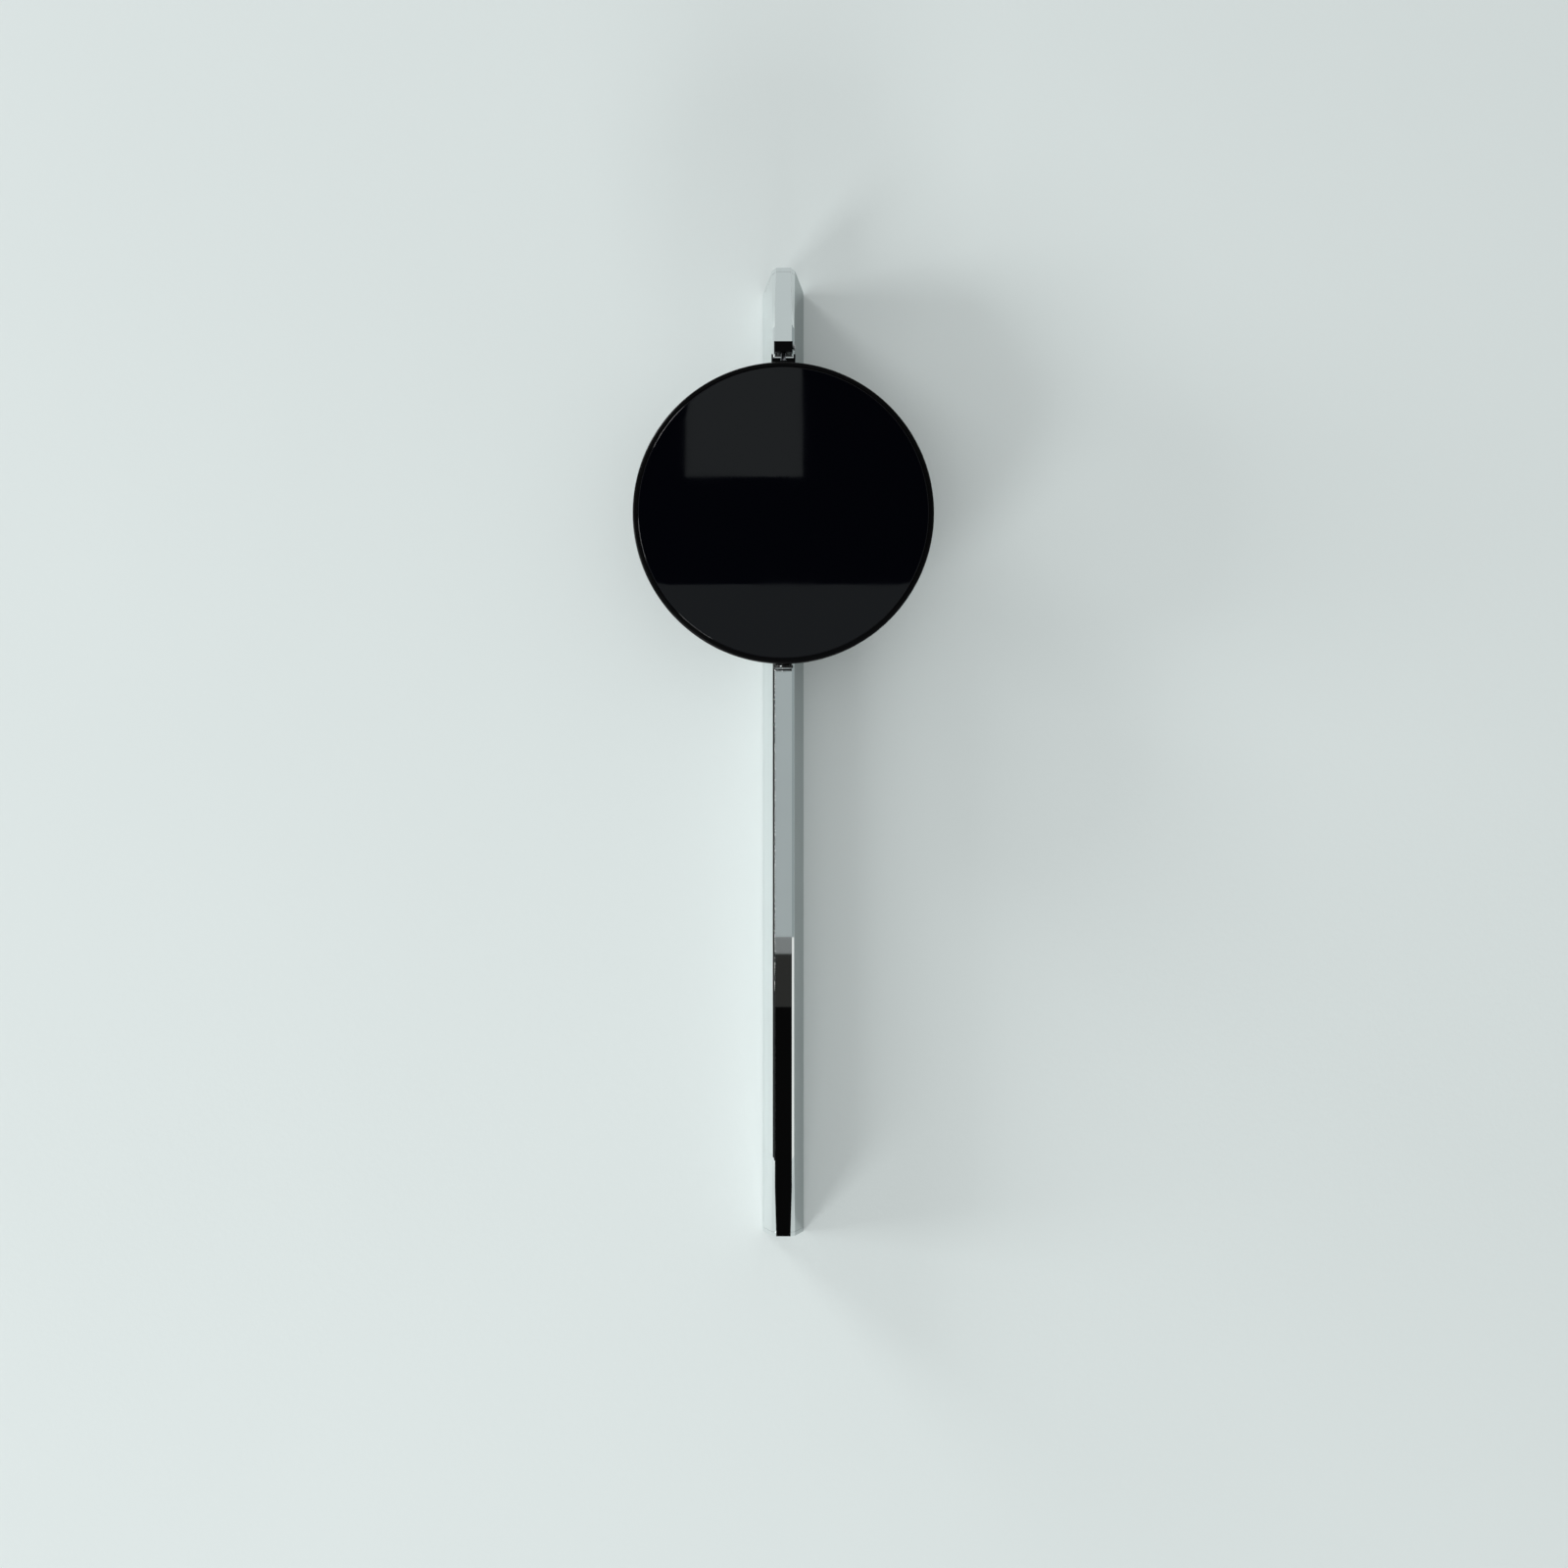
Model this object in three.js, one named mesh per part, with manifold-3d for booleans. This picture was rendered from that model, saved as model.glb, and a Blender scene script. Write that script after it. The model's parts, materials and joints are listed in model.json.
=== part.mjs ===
// Pendulum wall clock whose round head is its own pendulum.
// A tall chrome spine hangs on a wall rail. The clock head hangs in front of it from a suspension
// spring and swings left and right, and a coil in the spine keeps it swinging.
// Millimetres, +Z up, +X to the right, the wall at y = 0 and the front towards -Y.
// The origin is on the wall, level with the centre of the head.
import * as THREE from "three";
import { mergeVertices } from "three/addons/utils/BufferGeometryUtils.js";
import Module from "manifold-3d";

const wasm = await Module();
wasm.setup();

// ---------------------------------------------------------------- driving dimensions

const GAP = 0.3; // between pieces that touch

const SPINE = {
  halfAtWall: 17.5, // half-width on the wall
  halfAtChamfer: 9, // half-width where the front chamfers start
  halfFront: 7, // half-width of the flat front
  chamferDepth: 42, // from the wall to the chamfers
  depth: 44, // from the wall to the flat front
  wall: 2,
  bottom: -601, // ends, measured on the wall
  top: 199,
  slant: 8, // how much higher the ends are at the front than at the wall
  capThick: 3.4,
  capReach: 12, // how deep a cap's plug goes into the channel
  taperLengthTop: 50, // the front narrows over this length at the top end
  taperLengthBottom: 66,
};

const RAIL = {
  half: 12,
  thick: 2,
  bottom: -583,
  top: 175,
  holeR: 2.5,
  holes: [150, -550], // heights of the wall screws
  hooks: [60, -420], // heights of the two hooks
  hookHalf: 5,
  hookReach: 7,
  lipHeight: 12,
};

const LOCK = { y: -8, shankR: 2, headR: 3.2, headHeight: 2.4, sunk: 2 };

const HEAD = {
  r: 122, // outer radius of the bezel
  bezelBack: -64,
  bezelStraight: -69.5, // where the round front edge begins
  bezelFront: -72,
  edgeR: 2.5,
  lipThick: 1.5, // the bezel's inner lip, in front of the lens's flange
  flangeThick: 1.8,
  lipInner: 117.9,
  boreInner: 119.4,
  lensR: 117.6,
  lensFlangeR: 119.1,
  lensFront: -74.6, // highest point of the crowned lens
  lensCrown: 2, // how much lower the lens is at its edge
  lensThick: 2.4,
  caseBack: -52, // back plane of the rear case
  caseWall: 1.8,
  dialFront: -65,
  dialThick: 1,
  dialR: 117.2,
};

const MOVEMENT = {
  half: 28,
  front: -62.9,
  back: -47,
  wall: 1.2,
  split: -55, // where the base meets the cover
};

// An LR6 cell with its standard size
const CELL = { r: 7.1, body: 48.5, nubR: 2.7, nub: 1 };
const HEAD_CELL = { y: -54.9, z: -19.8 };
const SPINE_CELL = { y: -13.5, z: -214.5 };

const SUSPENSION = {
  y: -48, // plane of the spring and of the cross pin
  blockHalf: 7.65,
  blockBottom: 133.9,
  blockTop: 144.1,
  blockFront: -52,
  pinR: 1.6,
  pinZ: 131.4,
  pinHalf: 9.9,
  clampTop: 134.9, // brass clamp at the spring's lower end
  clampBottom: 128.7,
  plateHalf: 9.85,
  plateTop: 129.5,
  plateBottom: 96,
  earTop: 134.4,
  earHalf: 2.6, // half-depth of the ears around the pin
};

const HANGER_SCREW = { x: 5, z: 104, r: 1.5, headR: 2.8 };

const DRIVE = { z: -104, coilR: 5.8, magnetR: 7 };

const RATING = { y: -60, rodR: 1.5, rodTop: -86, nutR: 8, nutTop: -122.3, nutBottom: -125.1 };
// The screw in the nut's side: its reach from the nut's axis, and its angle off the front
const NUT_SCREW = { r: 0.75, from: 2.2, to: 8.5, turn: 11.5 };

// Wheel train, seen from the front. Each wheel is placed from the one that it meshes with,
// at the sum of their pitch radii and at an angle from +X towards +Z.
const TRAIN = {
  cannon: { teeth: 12, r: 2.4 },
  motionWheel: { teeth: 36, r: 7.2, angle: 200 },
  motionPinion: { teeth: 10, r: 1.92 },
  hourWheel: { teeth: 40, r: 7.68 },
  centreWheel: { teeth: 64, r: 8 },
  thirdPinion: { teeth: 8, r: 1, angle: 40 },
  thirdWheel: { teeth: 60, r: 6.75 },
  secondPinion: { teeth: 8, r: 0.9, angle: 125 },
  secondWheel: { teeth: 48, r: 5.28 },
  intermediatePinion: { teeth: 8, r: 0.88, angle: 165 },
  intermediateWheel: { teeth: 40, r: 4.4 },
  rotorPinion: { teeth: 8, r: 0.88, angle: 190 },
};

const HAND_MINUTES = 9; // the hands rest at nine minutes past ten
const HAND_HOURS = 10;

// ---------------------------------------------------------------- materials

function finish(color, roughness, metalness) {
  return new THREE.MeshStandardMaterial({ color, roughness, metalness });
}

const chrome = finish(0xc4ccce, 0.08, 1);
const steel = finish(0x9a9fa3, 0.35, 1);
const springSteel = finish(0x6d7278, 0.3, 1);
const brass = finish(0xb08d45, 0.35, 1);
const copper = finish(0xb0613a, 0.4, 1);
const blackGloss = finish(0x050506, 0.05, 0);
const blackSatin = finish(0x0c0c0d, 0.4, 0);
const blackPlastic = finish(0x141415, 0.55, 0);
const whitePlastic = finish(0xd9d7cf, 0.5, 0);
const rubber = finish(0x1a1a1a, 0.85, 0);
const board = finish(0x1f5a38, 0.5, 0);
const magnet = finish(0x55585c, 0.25, 1);
const cellLabel = finish(0x3a4654, 0.4, 0.2);

// ---------------------------------------------------------------- solids

// A closed geometry as a solid that can be joined and cut.
function solid(geometry) {
  const bare = geometry.clone();
  bare.deleteAttribute("normal");
  bare.deleteAttribute("uv");
  const merged = mergeVertices(bare, 1e-4);
  const corners = [...merged.index.array];
  const triVerts = [];
  for (let i = 0; i < corners.length; i += 3) {
    const [a, b, c] = corners.slice(i, i + 3);
    if (a !== b && b !== c && c !== a) triVerts.push(a, b, c);
  }
  return new wasm.Manifold(
    new wasm.Mesh({
      numProp: 3,
      vertProperties: merged.attributes.position.array,
      triVerts: new Uint32Array(triVerts),
    }),
  );
}

function geometryOf(made) {
  const mesh = made.getMesh();
  const geometry = new THREE.BufferGeometry();
  geometry.setAttribute("position", new THREE.BufferAttribute(mesh.vertProperties, 3));
  geometry.setIndex(new THREE.BufferAttribute(mesh.triVerts, 1));
  geometry.computeVertexNormals();
  return geometry;
}

// A block between two values along each axis.
function block([x0, x1], [y0, y1], [z0, z1]) {
  const geometry = new THREE.BoxGeometry(x1 - x0, y1 - y0, z1 - z0);
  return solid(geometry.translate((x0 + x1) / 2, (y0 + y1) / 2, (z0 + z1) / 2));
}

// A solid of revolution about the Y axis, from [radius, y] points in either direction.
function turned(points, segments = 16) {
  const profile = points.map(([r, y]) => new THREE.Vector2(r, y));
  if (THREE.ShapeUtils.area(profile) < 0) profile.reverse();
  const onAxis = profile.some((p) => p.x === 0);
  if (onAxis) {
    while (profile[0].x !== 0 || profile[profile.length - 1].x !== 0) profile.push(profile.shift());
  } else {
    profile.push(profile[0].clone());
  }
  return solid(new THREE.LatheGeometry(profile, segments));
}

// Round rods and tubes along each axis, from one value to the other.
function rodY(r, [y0, y1], x = 0, z = 0, segments = 14) {
  return turned([[0, y0], [r, y0], [r, y1], [0, y1]], segments).translate([x, 0, z]);
}

function tubeY(rIn, rOut, [y0, y1], segments = 20) {
  return turned([[rIn, y0], [rOut, y0], [rOut, y1], [rIn, y1]], segments);
}

function rodZ(r, [z0, z1], x, y, segments = 14) {
  return turned([[0, z0], [r, z0], [r, z1], [0, z1]], segments).rotate([90, 0, 0]).translate([x, y, 0]);
}

function rodX(r, [x0, x1], y, z, segments = 14) {
  return turned([[0, x0], [r, x0], [r, x1], [0, x1]], segments).rotate([0, 0, -90]).translate([0, y, z]);
}

// A solid of revolution about an axis along X at height z, from [radius, x] points.
function turnedX(points, y, z, segments) {
  return turned(points, segments).rotate([0, 0, -90]).translate([0, y, z]);
}

// An outline of [x, z] points as a plate between two depths.
function plate(points, [y0, y1]) {
  const shape = new THREE.Shape(points.map(([x, z]) => new THREE.Vector2(x, z)));
  const geometry = new THREE.ExtrudeGeometry(shape, { depth: y1 - y0, bevelEnabled: false });
  return solid(geometry.rotateX(Math.PI / 2).translate(0, y1, 0));
}

// An outline of [x, y] points as a bar between two heights.
function bar(points, [z0, z1]) {
  const shape = new THREE.Shape(points.map(([x, y]) => new THREE.Vector2(x, y)));
  const geometry = new THREE.ExtrudeGeometry(shape, { depth: z1 - z0, bevelEnabled: false });
  return solid(geometry.translate(0, 0, z0));
}

// What is left of a solid behind a plane, which is given by a point and the direction cut away.
function trim(made, point, outward) {
  const size = 2000;
  const turn = new THREE.Quaternion().setFromUnitVectors(
    new THREE.Vector3(0, 0, 1),
    outward.clone().normalize(),
  );
  const cutter = new THREE.BoxGeometry(size, size, size).translate(0, 0, size / 2);
  return made.subtract(solid(cutter.applyQuaternion(turn).translate(...point)));
}

// ---------------------------------------------------------------- assembly

const clock = new THREE.Group();

function group(name) {
  const made = new THREE.Group();
  made.name = name;
  clock.add(made);
  return made;
}

const spine = group("spine");
const head = group("head");
const motionWork = group("motion_work");
const goingTrain = group("going_train");

function add(parent, name, made, material, [x, y, z] = [0, 0, 0]) {
  const mesh = new THREE.Mesh(geometryOf(made), material);
  mesh.name = name;
  mesh.position.set(x, y, z);
  parent.add(mesh);
}

// ---------------------------------------------------------------- spine

// Half-width of the spine's sloping sides at a depth, moved in by an offset.
function spineHalf(depth, offset = 0) {
  const slope = (SPINE.halfAtWall - SPINE.halfAtChamfer) / SPINE.chamferDepth;
  return SPINE.halfAtWall - slope * depth - offset * Math.hypot(1, slope);
}

function mirrored(points) {
  return [...points, ...points.map(([x, y]) => [-x, y]).reverse()];
}

// The bar's outline, and the outline of its channel with chamfered inner corners.
function outerOutline() {
  return mirrored([
    [SPINE.halfAtWall, 0],
    [SPINE.halfAtChamfer, -SPINE.chamferDepth],
    [SPINE.halfFront, -SPINE.depth],
  ]);
}

function innerOutline(offset, back) {
  const front = SPINE.depth - offset;
  const chamfer = 1;
  return mirrored([
    [spineHalf(-back, offset), back],
    [spineHalf(front - chamfer, offset), -(front - chamfer)],
    [spineHalf(front, offset) - chamfer, -front],
  ]);
}

// Cuts a bar between two slanted planes, given by their heights on the wall.
function between(made, low, high) {
  const rise = SPINE.slant / SPINE.depth;
  const cutHigh = trim(made, [0, 0, high], new THREE.Vector3(0, rise, 1));
  return trim(cutHigh, [0, 0, low], new THREE.Vector3(0, -rise, -1));
}

// Near each end the chamfers grow wider along one more plane on each side.
function taperEnd(made, start, end) {
  const narrowFront = 5.9;
  const wideSide = 9.8;
  const wideDepth = 38;
  return [1, -1].reduce((bevelled, side) => {
    const corner = new THREE.Vector3(side * SPINE.halfAtChamfer, -SPINE.chamferDepth, start);
    const front = new THREE.Vector3(side * narrowFront, -SPINE.depth, end);
    const flank = new THREE.Vector3(side * wideSide, -wideDepth, end);
    const outward = front.clone().sub(corner).cross(flank.sub(corner));
    if (outward.x * side < 0) outward.negate();
    return trim(bevelled, corner.toArray(), outward);
  }, made);
}

function spineBar() {
  const spare = 40;
  const long = bar(outerOutline(), [SPINE.bottom - spare, SPINE.top + spare]);
  const topFront = SPINE.top + SPINE.slant;
  const bottomFront = SPINE.bottom + SPINE.slant;
  const bevelled = taperEnd(long, topFront - SPINE.taperLengthTop, topFront);
  return taperEnd(bevelled, bottomFront + SPINE.taperLengthBottom, bottomFront);
}

const BLOCK_SCREW = { x: 4.2, z: 136.4, r: 1, headR: 1.9 };

function spineHousing() {
  const low = SPINE.bottom + SPINE.capThick + GAP;
  const high = SPINE.top - SPINE.capThick - GAP;
  const channel = bar(innerOutline(SPINE.wall, 1), [low - 20, high + 20]);
  const shell = between(spineBar(), low, high).subtract(channel);
  return [1, -1].reduce(
    (cut, side) =>
      cut.subtract(rodY(BLOCK_SCREW.r + GAP, [-46, -40], side * BLOCK_SCREW.x, BLOCK_SCREW.z)),
    shell,
  );
}

// An end cap is a slanted plate with a plug that fits the channel.
function endCap(low, high, plugLow, plugHigh) {
  const plug = bar(innerOutline(SPINE.wall + GAP, 0), [plugLow - 20, plugHigh + 20]);
  return between(spineBar(), low, high).add(between(plug, plugLow, plugHigh));
}

function topCap() {
  const high = SPINE.top;
  return endCap(high - SPINE.capThick, high, high - SPINE.capReach, high - 1);
}

function bottomCap() {
  const low = SPINE.bottom;
  const cap = endCap(low, low + SPINE.capThick, low + 1, low + SPINE.capReach);
  const bore = rodZ(LOCK.shankR + GAP, [low - 5, low + 30], 0, LOCK.y);
  const recessTop = low + LOCK.sunk + LOCK.headHeight + GAP;
  const recess = rodZ(LOCK.headR + GAP, [low - 5, recessTop], 0, LOCK.y);
  return cap.subtract(bore).subtract(recess);
}

// The strip that stays on the wall: two screw holes, two hooks and a tab for the locking screw.
function wallRail() {
  const tab = { reach: 13, thick: 2 };
  let rail = block([-RAIL.half, RAIL.half], [-RAIL.thick, 0], [RAIL.bottom, RAIL.top]);
  for (const z of RAIL.holes) rail = rail.subtract(rodY(RAIL.holeR, [-RAIL.thick - 1, 1], 0, z, 24));
  for (const z of RAIL.hooks) {
    const across = [-RAIL.hookHalf, RAIL.hookHalf];
    rail = rail
      .add(block(across, [-RAIL.hookReach, -1], [z, z + 2]))
      .add(block(across, [-RAIL.hookReach, -RAIL.hookReach + 2], [z, z + RAIL.lipHeight]));
  }
  return rail
    .add(block([-8, 8], [-tab.reach, -1], [RAIL.bottom, RAIL.bottom + tab.thick]))
    .subtract(rodZ(LOCK.shankR + GAP, [RAIL.bottom - 1, RAIL.bottom + 3], 0, LOCK.y));
}

// A cross bar of the housing that drops in behind a hook's lip.
function hangerBar(hookZ) {
  const y = [-RAIL.hookReach + 2 + GAP, -RAIL.thick - GAP];
  return block([-14, 14], y, [hookZ + 2 + GAP, hookZ + 2 + GAP + RAIL.lipHeight]);
}

function lockScrew() {
  const headLow = SPINE.bottom + LOCK.sunk;
  const headHigh = headLow + LOCK.headHeight;
  return rodZ(LOCK.headR, [headLow, headHigh], 0, LOCK.y)
    .add(rodZ(LOCK.shankR, [headLow, RAIL.bottom + 6], 0, LOCK.y))
    .subtract(block([-LOCK.headR, LOCK.headR], [LOCK.y - 0.5, LOCK.y + 0.5], [headLow - 1, headLow + 1]));
}

add(spine, "spine_housing", spineHousing(), chrome);
add(spine, "top_cap", topCap(), chrome);
add(spine, "bottom_cap", bottomCap(), chrome);
add(spine, "wall_rail", wallRail(), steel);
add(spine, "hanger_bar_upper", hangerBar(RAIL.hooks[0]), steel);
add(spine, "hanger_bar_lower", hangerBar(RAIL.hooks[1]), steel);
add(spine, "lock_screw", lockScrew(), steel);

// ---------------------------------------------------------------- suspension

const CLAMP = { z: 140, r: 1.5, headR: 2.6, headThick: 1.8 };

// The block on the spine's front that clamps the spring, with a slit for the spring,
// a wider recess for its lower clamp and holes for its screws.
function suspensionBlock() {
  const { y, blockHalf, blockBottom, blockTop, blockFront } = SUSPENSION;
  const back = -SPINE.depth - GAP;
  let made = block([-blockHalf, blockHalf], [blockFront, back], [blockBottom, blockTop])
    .subtract(block([-0.7, 0.7], [y - 2.5, y + 2.5], [blockBottom - 1, blockTop - 2.6]))
    .subtract(block([-2.7, 2.7], [y - 2.8, y + 2.8], [blockBottom - 1, blockBottom + 2.4]))
    .subtract(rodX(CLAMP.r + GAP, [0, blockHalf + 1], y, CLAMP.z));
  for (const side of [1, -1]) {
    made = made.subtract(
      rodY(BLOCK_SCREW.r + GAP, [back - 3.4, back + 1], side * BLOCK_SCREW.x, BLOCK_SCREW.z),
    );
  }
  return made;
}

function clampScrew() {
  const from = SUSPENSION.blockHalf + GAP;
  const slot = block([from + 1, from + 4], [SUSPENSION.y - 0.4, SUSPENSION.y + 0.4], [136, 144]);
  return rodX(CLAMP.r, [1, from + 1], SUSPENSION.y, CLAMP.z)
    .add(rodX(CLAMP.headR, [from, from + CLAMP.headThick], SUSPENSION.y, CLAMP.z))
    .subtract(slot);
}

// Goes from inside the channel through the spine's front wall into the block.
function blockScrew(side) {
  const wallInside = -SPINE.depth + SPINE.wall;
  const x = side * BLOCK_SCREW.x;
  return rodY(BLOCK_SCREW.r, [-SPINE.depth - 3.2, wallInside + 1], x, BLOCK_SCREW.z).add(
    rodY(BLOCK_SCREW.headR, [wallInside + GAP, wallInside + 1.9], x, BLOCK_SCREW.z),
  );
}

// A thin leaf with a brass clamp at its lower end, bored for the cross pin.
function suspensionSpring() {
  const { y, pinZ, pinR, blockTop, clampTop, clampBottom } = SUSPENSION;
  return block([-0.2, 0.2], [y - 1.7, y + 1.7], [clampTop - 1, blockTop - 3.1])
    .add(block([-2, 2], [y - 2.5, y + 2.5], [clampBottom, clampTop]))
    .subtract(rodX(pinR + GAP, [-3, 3], y, pinZ));
}

const PLATE_THICK = 1.6;

// The head's bracket: a flat plate with two ears bent back around the cross pin,
// and a notch for the spring's clamp.
function hangerPlate() {
  const { y, pinR, pinZ, plateHalf, plateTop, plateBottom, earTop, earHalf } = SUSPENSION;
  const front = HEAD.caseBack + GAP;
  const back = front + PLATE_THICK;
  let made = block([-plateHalf, plateHalf], [front, back], [plateBottom, plateTop])
    .subtract(block([-2.6, 2.6], [front - 1, back + 1], [plateTop - 1.4, plateTop + 1]));
  for (const side of [1, -1]) {
    const across = [side * (plateHalf - 1.4), side * plateHalf].sort((a, b) => a - b);
    made = made
      .add(block(across, [front, y + earHalf], [118, plateTop]))
      .add(block(across, [y - earHalf, y + earHalf], [plateTop - 1, earTop]))
      .subtract(rodY(HANGER_SCREW.r + GAP, [front - 1, back + 1], side * HANGER_SCREW.x, HANGER_SCREW.z));
  }
  return made.subtract(rodX(pinR + GAP, [-12, 12], y, pinZ));
}

function hangerScrew(side) {
  const seat = HEAD.caseBack + GAP + PLATE_THICK + GAP;
  const x = side * HANGER_SCREW.x;
  return rodY(HANGER_SCREW.r, [HEAD.caseBack - 5, seat + 1], x, HANGER_SCREW.z)
    .add(rodY(HANGER_SCREW.headR, [seat, seat + 1.8], x, HANGER_SCREW.z))
    .subtract(block([x - 0.4, x + 0.4], [seat + 0.9, seat + 3], [HANGER_SCREW.z - 3, HANGER_SCREW.z + 3]));
}

add(spine, "suspension_block", suspensionBlock(), blackSatin);
add(spine, "clamp_screw", clampScrew(), steel);
add(spine, "block_screw_left", blockScrew(-1), steel);
add(spine, "block_screw_right", blockScrew(1), steel);
add(head, "suspension_spring", suspensionSpring(), springSteel);
const pinAcross = [-SUSPENSION.pinHalf, SUSPENSION.pinHalf];
add(head, "cross_pin", rodX(SUSPENSION.pinR, pinAcross, SUSPENSION.y, SUSPENSION.pinZ), chrome);
add(head, "hanger_plate", hangerPlate(), blackSatin);
add(head, "hanger_screw_left", hangerScrew(-1), steel);
add(head, "hanger_screw_right", hangerScrew(1), steel);

// ---------------------------------------------------------------- drive in the spine

// A spool about the Y axis: a core tube and two flanges.
function spool(bore, core, rim, [y0, y1], flange) {
  const points = [
    [bore, y0], [rim, y0], [rim, y0 + flange], [core, y0 + flange],
    [core, y1 - flange], [rim, y1 - flange], [rim, y1], [bore, y1],
  ];
  return turned(points, 20);
}

// The turns of wire between a spool's flanges, as one ring.
function winding(core, rim, [y0, y1], flange) {
  return tubeY(core + GAP, rim - GAP, [y0 + flange + GAP, y1 - flange - GAP]);
}

const driveSpan = [-SPINE.depth + SPINE.wall + GAP, -33.5];
add(spine, "drive_bobbin", spool(1.6, 2.4, DRIVE.coilR, driveSpan, 0.8), whitePlastic, [0, 0, DRIVE.z]);
add(spine, "drive_winding", winding(2.4, DRIVE.coilR, driveSpan, 0.8), copper, [0, 0, DRIVE.z]);
add(spine, "drive_board", block([-9, 9], [-30, -28.4], [-176, -118]), board);

// A cell along +X, with its positive end to the right, about its own centre.
function cell() {
  const half = CELL.body / 2;
  return turned([
    [0, -half], [CELL.r - 0.6, -half], [CELL.r, -half + 0.6], [CELL.r, half - 0.6],
    [CELL.r - 0.6, half], [CELL.nubR, half], [CELL.nubR, half + CELL.nub], [0, half + CELL.nub],
  ], 20).rotate([0, 0, -90]);
}

// An open tray for one upright cell, with its mouth towards the wall.
function batteryHolder() {
  const { y, z } = SPINE_CELL;
  const half = 9.4;
  const reach = CELL.body / 2 + 2.2;
  const pocket = [z - reach, z + reach];
  return block([-half, half], [-22.5, -8], [pocket[0] - 1.6, pocket[1] + 1.6])
    .subtract(rodZ(CELL.r + 2 * GAP, pocket, 0, y, 20))
    .subtract(block([-CELL.r - 2 * GAP, CELL.r + 2 * GAP], [y, 0], pocket));
}

add(spine, "battery_holder", batteryHolder(), blackPlastic);
const uprightCell = cell().rotate([0, -90, 0]);
add(spine, "spine_battery", uprightCell, cellLabel, [0, SPINE_CELL.y, SPINE_CELL.z]);

// ---------------------------------------------------------------- head case

const FINE = 60; // segments of the large round pieces

// Points of an arc in a [radius, y] profile, with angles in degrees from +radius towards +y.
function arc(centreR, centreY, r, from, to, steps) {
  return Array.from({ length: steps + 1 }, (_, i) => {
    const angle = THREE.MathUtils.degToRad(from + ((to - from) * i) / steps);
    return [centreR + r * Math.cos(angle), centreY + r * Math.sin(angle)];
  });
}

function bezel() {
  const { r, edgeR, bezelBack, bezelStraight, bezelFront, lipThick, lipInner, boreInner } = HEAD;
  return turned([
    [boreInner, bezelBack],
    [r - 0.8, bezelBack],
    [r, bezelBack - 1.2],
    ...arc(r - edgeR, bezelStraight, edgeR, 0, -90, 3),
    [lipInner + 0.3, bezelFront],
    [lipInner, bezelFront + 0.4],
    [lipInner, bezelFront + lipThick],
    [boreInner, bezelFront + lipThick],
  ], FINE);
}

// Depth of the lens's crowned front, or of any surface parallel to it, at a radius.
function crowned(r, lift = 0) {
  return HEAD.lensFront + lift + HEAD.lensCrown * (r / HEAD.lensR) ** 2;
}

// Back of the lens's flange
const lensSeat = HEAD.bezelFront + HEAD.lipThick + GAP + HEAD.flangeThick;

function frontLens() {
  const rings = [0, 60, HEAD.lensR - 0.7];
  const edge = crowned(HEAD.lensR);
  const flangeFront = HEAD.bezelFront + HEAD.lipThick + GAP;
  return turned([
    ...rings.map((r) => [r, crowned(r)]),
    [HEAD.lensR, edge + 0.5],
    [HEAD.lensR, flangeFront],
    [HEAD.lensFlangeR, flangeFront],
    [HEAD.lensFlangeR, lensSeat],
    [113.6, lensSeat],
    ...[112.8, 60, 0].map((r) => [r, crowned(r, HEAD.lensThick)]),
  ], FINE);
}

// A shallow pan with a ledge for the dial and a square window for the movement.
function rearCase() {
  const { caseBack, caseWall, bezelBack, dialFront, dialThick } = HEAD;
  const rim = bezelBack + GAP;
  const ledge = dialFront + dialThick + GAP;
  const window = MOVEMENT.half + 1;
  const pan = turned([
    [0, caseBack], [96, caseBack], [108, caseBack - 2.2], [116.5, caseBack - 6],
    [120, caseBack - 9.4], [121, rim], [117.6, rim], [117.6, ledge], [114.4, ledge],
    [113.4, ledge + 2.2], [106.8, caseBack - caseWall - 2.4],
    [95.4, caseBack - caseWall], [0, caseBack - caseWall],
  ], FINE);
  let cut = pan
    .subtract(block([-window, window], [-60, -40], [-window, window]))
    .subtract(rodZ(RATING.rodR + GAP, [-124, -108], 0, RATING.y));
  for (const side of [1, -1]) {
    cut = cut.subtract(
      rodY(HANGER_SCREW.r + GAP, [-60, -40], side * HANGER_SCREW.x, HANGER_SCREW.z),
    );
  }
  return cut;
}

function dialPlate() {
  const { dialR, dialFront, dialThick } = HEAD;
  return tubeY(4.4, dialR, [dialFront, dialFront + dialThick], FINE);
}

// Twelve raised batons joined by a thin ring.
function hourMarkers() {
  const base = HEAD.dialFront - GAP;
  const ring = tubeY(95, 97, [base - 0.5, base], 36);
  return Array.from({ length: 12 }, (_, hour) => {
    const long = hour % 3 === 0 ? 20 : 14;
    const half = hour % 3 === 0 ? 1.8 : 1.2;
    return block([-half, half], [base - 0.9, base], [106 - long, 106]).rotate([0, hour * 30, 0]);
  }).reduce((joined, baton) => joined.add(baton), ring);
}

const gasketSpan = [lensSeat + GAP, HEAD.dialFront - GAP];
add(head, "bezel", bezel(), blackSatin);
add(head, "front_lens", frontLens(), blackGloss);
add(head, "lens_gasket", tubeY(114.8, 118.4, gasketSpan, FINE), rubber);
add(head, "rear_case", rearCase(), blackPlastic);
add(head, "dial_plate", dialPlate(), blackSatin);
add(head, "hour_markers", hourMarkers(), blackGloss);
const magnetSpan = [HEAD.caseBack + GAP, HEAD.caseBack + GAP + 3];
add(head, "drive_magnet", rodY(DRIVE.magnetR, magnetSpan, 0, DRIVE.z, 20), magnet);

// ---------------------------------------------------------------- rating rod and nut

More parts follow.
